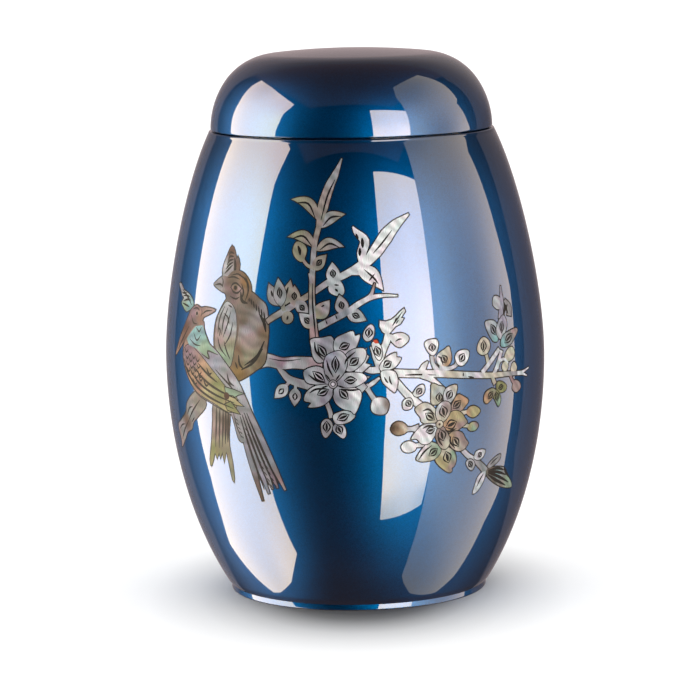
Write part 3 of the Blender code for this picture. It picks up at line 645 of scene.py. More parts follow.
class Motif:
    """One motif of the inlay: joined shell pieces with a dark outer edge, and engraved strokes.

    Its drawing calls take tenths of a millimetre from the motif's own origin, along the girth
    and up the barrel. A tone is one name, or a few places with the tones that blend between them.
    """

    laid = []

    def __init__(self, name, origin):
        self.name, self.origin, self.marks = name, origin, []
        self.verts, self.faces, self.slots, self.tones = [], [], [], []

    def at(self, *points):
        """Places in millimetres from points as drawn."""
        return [Vector([(o + p) / TENTHS for o, p in zip(self.origin, point)]) for point in points]

    def mark(self, outline, slot, tone, is_rimmed=False):
        """Notes a flat outline in millimetres, to be laid over the ones before it."""
        tones = [((0.0, 0.0), tone)]
        if not isinstance(tone, str):
            tones = list(zip(self.at(*(wash[:2] for wash in tone)), (wash[2] for wash in tone)))
        self.marks.append((outline, tones, slot, is_rimmed))

    def shell(self, outline, tone, seam):
        """A shell piece; a seam leaves a dark line between it and the pieces that it covers."""
        outline = anticlockwise(outline)
        if seam:
            self.mark(grown(outline, seam), LINE, "edge")
        self.mark(outline, SHELL, tone, True)

    def cut(self, points, width, tone="edge"):
        """An engraved line that tapers to both ends."""
        width *= STROKE_GAIN
        thin = width * STROKE_TAPER
        self.mark(anticlockwise(ribbon(points, (thin, width, width, thin))), LINE, tone)

    def eye(self, low, high, width):
        """An almond of two strokes between two places, round a short dash if it is wide."""
        along = high - low
        left = Vector((-along.y, along.x)).normalized() * width / 2
        middle = (low + high) / 2
        for side in (-1, 1):
            self.cut([low, middle + left * side, high], EYE_STROKE)
        if width > DASH_LEAST:
            self.cut([low.lerp(high, DASH_FROM), low.lerp(high, DASH_TO)], width * DASH_SHARE)

    def piece(self, points, tone, seam=0):
        """A shell piece with straight sides."""
        self.shell(self.at(*points), tone, seam / TENTHS)

    def smooth(self, points, tone, seam=0, steps=3):
        """A shell piece with a rounded outline."""
        self.shell(rounded(self.at(*points), steps), tone, seam / TENTHS)

    def disc(self, centre, radius, tone, seam=0):
        """A round shell piece."""
        turns = [2 * math.pi * i / DISC_SIDES for i in range(DISC_SIDES)]
        self.piece([(centre[0] + radius * math.cos(a), centre[1] + radius * math.sin(a)) for a in turns],
                   tone, seam)

    def twig(self, points, widths, tone):
        """A strip of shell along a smooth chain."""
        self.shell(ribbon(self.at(*points), [w / TENTHS for w in widths]), tone, 0)

    def strokes(self, width, *chains, tone="edge"):
        """Engraved lines of one width."""
        for points in chains:
            self.cut(self.at(*points), width / TENTHS, tone)

    def leaf(self, base, tip, width, bow, tone, mark="rib", seam=0):
        """A pointed leaf with a midrib, an almond eye or no mark."""
        (base, tip), width = self.at(base, tip), width / TENTHS
        self.shell(leaf_shape(base, tip, width, bow), tone, seam / TENTHS)
        along = tip - base
        left = Vector((-along.y, along.x)) * bow
        if mark == "rib":
            ends = base + along * RIB_FROM, base + along * RIB_TO
            self.cut([ends[0], base + along * 0.5 + left, ends[1]], RIB_STROKE)
        elif mark == "eye":
            low = base + left * EYE_BOW
            self.eye(low + along * EYE_FROM, low + along * EYE_TO, width * EYE_SHARE)

    def bloom(self, points, tone, low, high, width=32):
        """A rounded petal or bud over the ones before it, with an eye between two places."""
        self.shell(rounded(self.at(*points), 3), tone, SEAM_WIDTH)
        self.eye(*self.at(low, high), width / TENTHS)

    def spread(self, outline, slot, tones, height):
        """Wraps one flat outline round the barrel, coloured by the tones of a few places."""
        points, triangles = filled(outline, SHELL_GRID)
        washes = [(place, [c / SHELL_FILL for c in linear(TONES[tone])]) for place, tone in tones]
        first = len(self.verts)
        self.verts += [on_skin(p, height) for p in points]
        self.tones += [blended(p, washes) for p in points]
        self.faces += [tuple(first + c for c in corners) for corners in triangles]
        self.slots += [slot] * len(triangles)

    def lay(self):
        """Stacks the dark edges, then each mark over the ones it touches, going by their extents."""
        rims = [grown(outline, RIM_WIDTH) for outline, _, _, is_rimmed in self.marks if is_rimmed]
        base = max((stacked_under(extent(rim), Motif.laid) for rim in rims), default=0)
        for rim in rims:
            self.spread(rim, LINE, [((0.0, 0.0), "edge")], SHELL_LIFT + base * LEVEL_LIFT)
            Motif.laid.append((extent(rim), base + 1))
        own = []
        for outline, tones, slot, _ in self.marks:
            level = max(stacked_under(extent(outline), own), base) + 1
            self.spread(outline, slot, tones, SHELL_LIFT + level * LEVEL_LIFT)
            own.append((extent(outline), level))
        Motif.laid += own

    def finish(self, materials):
        """Makes the mesh object and gives it the place of its plate."""
        self.lay()
        made = mesh_object("inlay_" + self.name, self.verts, self.faces, *materials)
        paint(made.data, "tone", self.tones)
        for polygon, slot in zip(made.data.polygons, self.slots):
            polygon.material_index = slot
        made.data.shade_smooth()
        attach(made, "root")
        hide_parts("pearl_" + self.name)


def tail_rear(m):
    """The further bird's tail, below the nearer bird's wing, forked at its end."""
    m.smooth([(-16, 180), (-31, 99), (-56, -5), (-93, -104), (-89, -129), (-63, -96), (-43, -59),
        (-33, -86), (-13, -56), (-7, -83), (13, -50), (15, -101), (39, -46), (49, -113), (55, -182),
        (67, -176), (72, -93), (66, -17), (75, 59), (89, 149), (42, 178)], [(16, 154, "beige"),
        (4, 52, "rose"), (33, 5, "olive"), (-56, -56, "moss"), (59, -163, "olive"), (62, 92, "taupe")],
        steps=2)
    m.strokes(7, [(5, 166), (-7, 85), (-32, -32)], [(26, 164), (16, 87), (-6, -33)],
        [(47, 157), (38, 81), (17, -27)], [(63, 155), (55, 74), (39, -12)],
        [(80, 148), (69, 67), (58, -1)])


def perch(m):
    """The broken end of the bough under the nearer bird."""
    m.smooth([(100, 154), (-4, 90), (-35, 34), (-100, -10), (-160, -46), (-144, -110), (-155, -148),
        (-90, -105), (-39, -60), (10, -40), (38, -1), (90, 32), (160, 95)], [(100, 90, "beige"),
        (20, 40, "silver"), (-30, 0, "taupe"), (-90, -60, "silver"), (-150, -110, "rose")], steps=4)
    m.strokes(6, [(110, 110), (40, 50), (-10, 0)])
    m.strokes(5.5, [(-10, 0), (-80, -60), (-130, -110)])
    m.strokes(5, [(40, 70), (10, 60), (-20, 25)], [(-60, -25), (-100, -35), (-140, -60)],
        [(50, 20), (20, -5)])


def bird_rear(m):
    """The further bird: crest, head, beak, wing and round body."""
    m.smooth([(-26, 170), (-16, 220), (-34, 256), (-40, 242), (-56, 278), (-82, 302), (-106, 256),
        (-124, 206), (-120, 160), (-80, 140)], [(-80, 270, "brown"), (-100, 210, "cloud"),
        (-60, 190, "silver"), (-30, 210, "brown")], steps=2)
    for k in range(5):
        m.strokes(7, [(5 * k - 110, 20 * k + 174), (-86, 19 * k + 196), (k - 62, 13 * k + 216)])
    m.strokes(10, [(-46, 170), (-44, 210), (-54, 250)])
    m.smooth([(40, 105), (74, 100), (115, 74), (154, 40), (170, -60), (165, -141), (152, -214),
        (101, -254), (51, -286), (1, -304), (-50, -270), (-110, -210), (-145, -150), (-143, -52),
        (-118, 7), (-78, 66), (-30, 110)], [(80, 60, "taupe"), (150, -80, "bronze"),
        (120, -220, "bronze"), (60, -110, "rose"), (30, -30, "taupe"), (10, -270, "gold_brown"),
        (140, 10, "silver"), (80, -200, "olive"), (0, -170, "bronze"), (50, -70, "silver")], steps=4)
    m.smooth([(-76, 50), (-116, 4), (-138, -52), (-139, -150), (-100, -205), (-47, -244), (-28, -215),
        (-16, -151), (-6, -69), (-24, 18)], [(-100, -20, "silver"), (-60, -70, "cloud"),
        (-110, -110, "rose"), (-40, -140, "olive"), (-80, -200, "mint"), (-30, -10, "steel"),
        (-80, 20, "cloud")], 3.5, steps=4)
    m.strokes(5, [(-88, 28), (-116, -30), (-122, -100)], [(-66, 24), (-90, -36), (-98, -104)],
        [(-46, 10), (-64, -54), (-88, -114)], [(-30, -40), (-44, -100), (-78, -150)],
        [(-122, -114), (-104, -160), (-62, -200)], [(-80, -130), (-62, -174), (-38, -212)],
        [(-89, -4), (-64, -20), (-52, -50)], [(-124, -66), (-108, -84), (-112, -110)])
    for k in range(7):
        u, z = 56 + 15 * k, 84 - 11 * k
        m.strokes(6, [(u - 5, z), (u + 3, z - 26 - 2.5 * k)])
    m.strokes(10, [(116, 8), (144, -30), (156, -74)])
    m.strokes(8.5, [(150, -114), (114, -184), (44, -232)])
    m.strokes(7.5, [(142, -150), (94, -214), (26, -254)])
    m.strokes(7, [(10, -186), (16, -226), (40, -250)])
    m.strokes(6, [(-8, -220), (4, -250)])
    m.strokes(6, [(-9, 24), (1, -70), (-10, -160)], tone="taupe")
    m.smooth([(-92, 86), (-118, 94), (-174, 118), (-164, 134), (-126, 160), (-106, 166), (-88, 164),
        (-50, 192), (10, 186), (54, 146), (66, 96), (36, 54), (-20, 40), (-74, 56)],
        [(-150, 124, "silver"), (-60, 150, "taupe"), (25, 140, "gold_brown"), (-40, 76, "dusk"),
        (40, 90, "bronze"), (-10, 105, "rose")], steps=4)
    m.strokes(5.5, [(-170, 119), (-134, 126), (-112, 116)])
    m.strokes(4, [(-124, 158), (-114, 138), (-118, 110)])
    m.strokes(6, [(-62, 112), (-48, 132), (-22, 135), (16, 110)],
        [(-60, 118), (-40, 97), (-13, 94), (11, 116)])
    m.disc((-30, 116), 15, "bronze")
    m.disc((-30, 116), 10, "edge")
    m.strokes(10, [(4, 100), (16, 60), (50, 50)])
    m.strokes(4.5, [(-64, 170), (-20, 178), (20, 158)])
    m.strokes(5.5, [(26, 170), (46, 130), (46, 96)])
    m.strokes(6, [(-28, 180), (29, 154), (48, 107), (34, 58)], [(6, 137), (21, 97), (8, 63)])
    m.strokes(5, [(-87, 157), (-47, 164), (-7, 155)], [(-60, 76), (-24, 66), (0, 76)],
        [(-66, 36), (-40, 26)])


def bird_front(m):
    """The nearer bird: body, tail, folded wing, breast, plume, head, beak and crest."""
    m.smooth([(-194, 300), (-230, 240), (-255, 160), (-216, 73), (-132, -7), (-11, -46), (104, -84),
        (172, -106), (214, -120), (230, -80), (194, 6), (144, 89), (38, 190), (-36, 235), (-70, 280),
        (-90, 330)], [(130, 50, "cloud"), (190, -60, "silver"), (20, 150, "lavender"),
        (-190, 270, "salmon"), (-170, 70, "mauve"), (80, 110, "silver")], steps=4)
    m.strokes(6, [(16, 116), (94, 60), (126, 34)])
    m.strokes(7, [(92, 104), (104, 66), (134, 48)])
    m.strokes(6, [(0, 106), (70, 34), (160, -16)])
    tips = [(370, -424), (330, -416), (302, -422), (278, -446), (236, -484)]
    tones = ["rose", "mauve", "silver", "lavender", "taupe"]
    for k, (tip, tone) in enumerate(zip(tips, tones)):
        root = (212 - 14 * k, -60)
        middle = (root[0] + tip[0]) / 2
        m.twig([root, tip], (24, 36, 30, 9),
               [(root[0], -70, "silver"), (middle, -230, "steel"), (*tip, tone)])
    for start, end in (((198, -70), (338, -396)), ((184, -70), (310, -400)), ((172, -80), (282, -406)),
                       ((160, -90), (254, -430)), ((216, -110), (320, -360))):
        m.strokes(8, [start, ((start[0] + end[0]) / 2, (start[1] + end[1]) / 2), end])
    for k in range(10):
        u, z = 190 + 12.2 * k, -146 - 29 * k
        m.strokes(3.4, [(u - 9, z + 6), (u + 5, z - 11)], [(u + 15, z + 10), (u + 27, z - 7)])
    m.smooth([(104, -50), (124, -130), (140, -196), (164, -210), (180, -186), (156, -110), (140, -50)],
        "silver", steps=4)
    m.strokes(4, [(120, -70), (136, -140), (158, -190)])
    for k in range(5):
        m.strokes(3.4, [(128 + 7 * k, -100 - 20 * k), (144 + 7 * k, -112 - 20 * k)])
    m.smooth([(-110, 388), (-70, 394), (0, 387), (-40, 364), (-86, 342), (-90, 300), (-114, 286),
        (-150, 300), (-200, 256), (-260, 206), (-344, 144), (-306, 210), (-266, 270), (-224, 330),
        (-190, 376), (-148, 396)], [(-160, 360, "mauve"), (-120, 340, "salmon"), (-30, 380, "rose"),
        (-230, 270, "brown"), (-320, 170, "salmon"), (-150, 310, "dusk")], steps=4)
    m.strokes(5, [(-310, 176), (-254, 236), (-204, 294)], [(-190, 346), (-166, 314), (-130, 310)],
        [(-20, 382), (-66, 376), (-96, 358)])
    m.strokes(4, [(-104, 384), (-98, 366), (-106, 346)])
    m.disc((-140, 359), 14, "rose")
    m.disc((-140, 359), 9, "edge")
    m.strokes(4.5, [(-176, 376), (-144, 384), (-118, 374)])
    m.smooth([(-178, 390), (-199, 424), (-250, 444), (-295, 451), (-338, 476), (-371, 474), (-331, 445),
        (-309, 425), (-284, 416), (-310, 393), (-283, 376), (-240, 357)], [(-213, 390, "aqua"),
        (-282, 424, "cloud"), (-357, 470, "silver"), (-271, 384, "mint")], 3, steps=2)
    m.strokes(6, [(-196, 392), (-240, 423), (-315, 454)], [(-208, 413), (-242, 413), (-285, 402)],
        [(-222, 428), (-258, 430), (-296, 424)], [(-216, 381), (-247, 386), (-295, 391)],
        [(-253, 442), (-287, 438), (-314, 437)])
    m.smooth([(-250, 169), (-212, 73), (-130, -2), (-11, -39), (90, -74), (130, -62), (150, -22),
        (136, 4), (90, 34), (24, 89), (-53, 146), (-110, 180), (-191, 210)], [(-200, 170, "mauve"),
        (-150, 130, "mauve"), (-170, 60, "peach"), (-90, 100, "peach"), (-50, 10, "straw"),
        (30, 60, "moss"), (90, -30, "straw"), (-110, 30, "salmon"), (60, 0, "moss")], 4, steps=4)
    m.piece([(78, 39), (134, 31), (188, 18), (157, 11), (126, -5), (83, -2)], "mint", 5)
    m.piece([(84, 2), (126, 0), (144, -17), (182, -40), (143, -38), (116, -31), (81, -31)], "straw", 5)
    m.piece([(75, -40), (108, -26), (132, -49), (159, -78), (125, -73), (86, -65)], "moss", 5)
    m.strokes(7.5, [(-230, 106), (-150, 34), (-30, -18), (124, -56)],
        [(-190, 104), (-110, 44), (-10, 4), (130, -30)], [(-150, 114), (-70, 64), (20, 26), (146, -10)],
        [(-110, 132), (-40, 90), (30, 56)], [(-240, 140), (-194, 70), (-110, 14)])
    for row in range(4):
        for k in range(4):
            u, z = 34 * k + 8 * row - 216, 186 - 11 * k - 29 * row
            m.strokes(5, [(u - 16, z + 4), (u, z - 14), (u + 17, z + 1)])
    for u, z in ((-100, 82), (-144, 44), (-56, 46), (-30, 102)):
        m.strokes(7, [(u - 14, z + 16), (u + 4, z - 12), (u + 24, z - 4)])
    m.disc((86, 0), 17, "umber")
    m.piece([(-140, 300), (-180, 270), (-218, 234), (-194, 208), (-126, 198), (-78, 180), (-26, 164),
        (-40, 196), (40, 184), (-26, 226), (-62, 275), (-82, 310)],
        [(-150, 250, "aqua"), (-70, 200, "mint"), (-110, 280, "aqua")])
    m.strokes(5.5, [(-82, 178), (-26, 162), (-38, 196), (36, 184)])
    m.strokes(5, [(-156, 270), (-126, 236), (-94, 264)])
    m.strokes(4.5, [(-186, 236), (-140, 216), (-94, 214)])
    m.strokes(5, [(-136, 296), (-110, 278), (-92, 300)])


def bough(m):
    """The thick bough between the birds and the left blossom, with a twig and two leaves."""
    m.twig([(-160, 93), (-110, 100), (-40, 88), (30, 94), (150, 88)], (66, 54, 50, 60),
        [(-130, 90, "cloud"), (-90, 80, "silver"), (-40, 100, "mauve"), (0, 80, "cloud"),
        (60, 90, "silver"), (100, 80, "pink")])
    m.strokes(3.5, [(-105, 108), (-30, 100), (50, 110)])
    m.twig([(-60, 68), (-33, 42), (6, 12), (130, -20)], (12, 26, 34, 40), "silver")
    m.twig([(4, 16), (-24, -16)], (14, 14), "silver")
    m.leaf((-14, -10), (-80, -72), 54, 0.0, "cloud", "eye")
    m.leaf((24, -20), (16, -106), 54, 0.0, "silver", "eye")
    m.twig([(26, 10), (22, -40)], (16, 12), "silver")


def blossom_left(m):
    """The blossom in the middle, the bud on its right and the leaves below it."""
    m.twig([(145, -5), (165, -41), (185, -73)], (26, 18, 22), "cloud")
    m.twig([(152, -16), (182, 4), (210, 25)], (16, 18, 9), "pearl")
    m.smooth([(170, -101), (181, -73), (211, -64), (242, -75), (251, -106), (236, -139), (203, -143),
        (175, -129)], [(190, -85, "white"), (217, -124, "cloud"), (244, -101, "beige")])
    m.twig([(-30, -87), (-16, -127), (-11, -155)], (18, 20), "silver")
    # The petals' washes, steel near the heart and white at the tips of the right-hand petals, are partly
    # the shell's tones and partly a painted highlight band
    m.bloom([(-58, -183), (-39, -161), (-16, -167), (-6, -191), (-17, -224), (-40, -248), (-57, -224)],
        "silver", (-33, -170), (-34, -224))
    m.bloom([(-2, -193), (22, -177), (49, -198), (54, -234), (40, -250), (15, -233), (-3, -214)],
        [(12, -191, "steel"), (43, -238, "pearl")], (14, -189), (34, -231))
    m.bloom([(-2, -143), (23, -129), (60, -123), (97, -144), (78, -168), (49, -181), (12, -183),
        (-1, -164)], "cloud", (14, -164), (71, -140))
    m.piece([(106, 126), (154, 160), (146, 136), (164, 124), (147, 93), (170, 85), (129, 50), (100, 52)],
        "pearl", 3)
    m.piece([(109, 38), (166, 32), (134, 7), (154, -14), (126, -43), (106, -22)], "cloud", 3)
    m.bloom([(-90, 124), (-99, 172), (-99, 202), (-47, 209), (-6, 215), (7, 182), (-1, 136), (-29, 108),
        (-67, 97)], [(-85, 195, "cloud"), (-38, 182, "steel"), (-29, 122, "silver")], (-68, 179),
        (-27, 119))
    m.bloom([(5, 168), (14, 205), (56, 227), (93, 238), (103, 216), (124, 222), (115, 185), (94, 149),
        (55, 134), (18, 140)], [(103, 226, "pearl"), (56, 200, "steel"), (46, 149, "cloud")], (29, 161),
        (79, 181))
    m.bloom([(54, 78), (55, 126), (92, 156), (139, 160), (152, 134), (137, 97), (95, 61), (63, 60)],
        [(143, 148, "white"), (83, 135, "steel"), (82, 80, "cloud")], (75, 84), (119, 118))
    m.bloom([(-130, 61), (-76, 80), (-34, 62), (-6, 11), (-30, -3), (-77, -2), (-117, 5), (-131, 28)],
        [(-124, 52, "steel"), (-77, 43, "cloud"), (-21, 16, "steel")], (-93, 58), (-35, 10))
    m.bloom([(-134, -77), (-121, -37), (-77, -8), (-21, -3), (-2, -17), (-5, -52), (-32, -87),
        (-70, -104), (-115, -107), (-102, -86)],
        [(-121, -70, "silver"), (-68, -31, "cloud"), (-32, -59, "steel")], (-73, -50), (-20, -24))
    m.bloom([(10, -18), (44, -5), (99, -18), (127, -42), (119, -88), (96, -137), (78, -123), (42, -113),
        (11, -87), (0, -50)], [(99, -121, "pearl"), (107, -51, "white"), (70, -78, "cloud"),
        (20, -59, "steel")], (27, -23), (68, -70))
    m.bloom([(18, 2), (35, 42), (81, 52), (132, 47), (153, 23), (127, 0), (89, -15), (43, -14)],
        [(136, 33, "white"), (81, 34, "cloud"), (44, 2, "steel")], (50, 16), (108, 19))
    m.bloom([(1, 6), (-30, 34), (-40, 90), (-29, 127), (4, 145), (37, 149), (64, 117), (63, 80),
        (44, 42)], [(-1, 136, "lavender"), (46, 126, "cloud"), (13, 81, "steel"), (7, 25, "silver")],
        (12, 128), (13, 51))
    m.strokes(6, [(-27, 108), (-18, 71), (2, 32)], [(34, -22), (80, -28), (122, -25)],
        [(-108, -41), (-78, -24), (-31, -20)], [(54, 90), (66, 115), (103, 146)],
        [(-83, 190), (-76, 149), (-43, 110)], [(-112, 42), (-77, 17), (-30, 4)])
    for k in range(5):
        away = Matrix.Rotation(math.radians(54 + 72 * k), 2) @ Vector((1.0, 0.0))
        m.strokes(5, [away * 22, away * 54])
    m.disc((0, 0), 18, "silver", 4)
    m.disc((0, 0), 8, "pearl", 3.5)


def stem(m):
    """The upright leafy stem above the left blossom."""
    m.leaf((6, -336), (-70, -274), 60, 0.0, [(-10, -320, "beige"), (-50, -280, "cloud")], "eye")
    m.leaf((-4, -290), (74, -214), 70, -0.08,
        [(10, -280, "olive"), (50, -240, "silver"), (30, -230, "rose")], "none")
    m.strokes(5, [(36, -244), (50, -236)])
    m.twig([(5, -400), (-3, -310), (-10, -190), (-9, -60), (-1, 44), (24, 140)], (42, 32, 26, 26, 24, 26),
        [(0, -370, "rose"), (-10, -270, "silver"), (-10, -180, "beige"), (0, -50, "silver"),
        (10, 100, "beige")])
    m.strokes(5, [(10, -390), (4, -320), (-6, -230), (-8, -140)])
    m.twig([(-14, -140), (-26, -96)], (14, 6), "silver")
    m.leaf((-10, -80), (58, -12), 56, 0.0, "beige", "eye")
    m.twig([(-10, -68), (-36, -60), (-60, -34)], (18, 14, 14), "beige")
    m.smooth([(-60, -44), (-42, 4), (-56, 32), (-96, 44), (-114, 6), (-96, -30)], "olive")
    m.strokes(10, [(-74, -16), (-78, 6), (-88, 26)])
    m.leaf((4, 20), (-146, 64), 52, -0.18, [(-10, 40, "beige"), (-120, 80, "olive")])
    m.leaf((4, 6), (144, 22), 52, 0.16, [(20, 30, "beige"), (130, 40, "silver")])
    m.leaf((18, 136), (-142, 230), 54, -0.18, [(0, 160, "beige"), (-120, 220, "olive")])
    m.leaf((18, 106), (151, 166), 54, 0.12, [(40, 130, "silver"), (140, 160, "beige")])
    m.twig([(16, 110), (34, 200), (64, 284), (96, 340), (132, 410)], (28, 54, 48, 34, 5),
        [(30, 170, "beige"), (60, 260, "rose"), (70, 300, "silver"), (120, 380, "silver")])
    m.strokes(6, [(26, 140), (56, 246), (96, 320)])


def twig_left(m):
    """The twig from the further bird's shoulder to the stem, with a three-petalled bud."""
    m.twig([(-110, -98), (-79, -76), (-13, -39), (65, 9), (110, 36)], (22, 28, 24),
        [(-110, -100, "beige"), (-10, -30, "silver"), (70, 10, "beige")])
    m.twig([(-25, -45), (-38, 0)], (20, 20), "beige")
    m.leaf((-46, -22), (-110, 74), 64, 0.06, "silver", "none")
    m.leaf((-34, -22), (2, 94), 60, -0.06, "beige", "none")
    m.strokes(7, [(-86, 16), (-96, 44)], [(-20, 20), (-8, 62)])
    m.leaf((-40, -26), (-62, 100), 64, 0.0, "silver", "eye", 3)
    m.leaf((24, -22), (24, 70), 60, 0.0, "beige", "eye")
    m.leaf((34, 0), (96, -60), 56, 0.0, "silver", "eye")
    m.disc((-6, -74), 28, "beige")
    m.strokes(6, [(-9, -86), (-4, -66)])


def twig_right(m):
    """The twig that runs on from the stem to three large leaves."""
    m.twig([(-245, -162), (-169, -113), (-114, -91), (-49, -59), (10, -22)], (24, 30, 34),
        [(-230, -150, "silver"), (-130, -100, "cloud"), (-50, -60, "pearl"), (0, -30, "white")])
    m.twig([(-60, -74), (-20, -78), (4, -86)], (18, 8), "pearl")
    m.leaf((-146, -122), (-154, -26), 66, 0.0, "cloud", "eye")
    m.smooth([(-150, -104), (-114, -110), (-96, -150), (-106, -172), (-136, -174), (-166, -158),
        (-170, -130)], "cloud")
    m.strokes(7, [(-140, -144), (-126, -156)])
    m.strokes(5, [(-144, -126), (-122, -128)])
    m.twig([(-4, -50), (-10, 10), (6, 66), (-34, 106), (-52, 130)], (30, 44, 46, 26, 6),
        [(-10, -30, "white"), (-10, 40, "pearl"), (-40, 110, "white")])
    m.strokes(10, [(-20, 0), (-18, 36)])
    m.strokes(11, [(-4, 36), (-6, 80)])
    m.strokes(7, [(-24, 76), (-38, 100)])
    m.leaf((-34, -56), (86, -154), 74, 0.12, "white", "none")
    m.strokes(6, [(0, -60), (44, -98), (66, -126)])
    m.strokes(5, [(22, -110), (50, -80)])
    m.twig([(-4, -46), (60, 20), (116, 86), (170, 134), (242, 178)], (34, 58, 64, 44, 7), "white")
    m.strokes(5, [(46, 10), (94, 56), (146, 110)])


def twig_middle(m):
    """The lower twig to the right of the stem, forked at its end, with two leaves."""
    m.leaf((-60, -40), (-80, 50), 62, 0.0, "silver", "eye")
    m.leaf((-48, -24), (44, -66), 60, 0.0, "cloud", "eye")
    m.twig([(42, 24), (70, 48), (88, 98)], (22, 16, 5), [(50, 30, "pearl"), (86, 90, "rose")])
    m.twig([(-200, -106), (-129, -70), (-43, -27), (10, 8), (64, 33), (120, 42), (194, 39)],
        (30, 28, 24, 18, 6), [(-170, -90, "silver"), (-70, -40, "steel"), (20, 10, "pearl"),
        (130, 40, "white")])
    m.strokes(4, [(-136, -82), (-144, -62)], [(-90, -60), (-98, -40)])


def sprig_centre(m):
    """The leafy knot to the right of the left blossom, where the thin branch starts."""
    m.twig([(-100, -71), (-68, -81), (-31, -78)], (26, 30), "pearl")
    m.twig([(-31, -64), (-39, -18), (-61, 29)], (34, 46, 24), "pearl")
    m.twig([(-36, -55), (-15, 4), (5, 49), (15, 81)], (30, 28, 34), "white")
    m.bloom([(-102, 80), (-90, 107), (-67, 125), (-52, 111), (-53, 79), (-65, 58), (-84, 51), (-98, 61)],
        "pearl", (-73, 111), (-78, 66))
    m.bloom([(-64, 38), (-45, 47), (-24, 28), (-18, -9), (-30, -36), (-48, -18)], "white", (-47, 28),
        (-32, -20))
    m.piece([(-24, 141), (3, 136), (30, 143), (54, 160), (74, 179), (92, 191), (97, 178), (75, 150),
        (88, 146), (71, 123), (48, 113), (24, 88), (10, 74), (-14, 91), (-26, 115)], "white")
    m.strokes(4.5, [(33, 115), (51, 138), (84, 177)])
    m.strokes(3.5, [(45, 137), (55, 151)], [(50, 123), (64, 141)])
    m.smooth([(19, 65), (48, 80), (79, 81), (104, 66), (107, 49), (93, 34), (65, 18), (37, 34)], "white")
    m.strokes(4.5, [(45, 45), (61, 54), (76, 55)])
    m.bloom([(-31, -66), (-12, -37), (19, -14), (46, -6), (47, -25), (68, -31), (55, -54), (36, -72),
        (6, -82), (-22, -85)], "white", (-14, -67), (24, -44))
    m.smooth([(-23, -88), (6, -83), (37, -91), (49, -116), (49, -151), (38, -184), (25, -178), (6, -162),
        (-16, -139), (-24, -113)], "white", 3.5)
    m.strokes(5, [(-11, -113), (-2, -130), (7, -142)], [(13, -110), (16, -133), (25, -150)])
    m.disc((-45, 48), 9, "rust")
    m.strokes(9, [(-56, 53), (-45, 48), (-34, 41)], tone="rust")


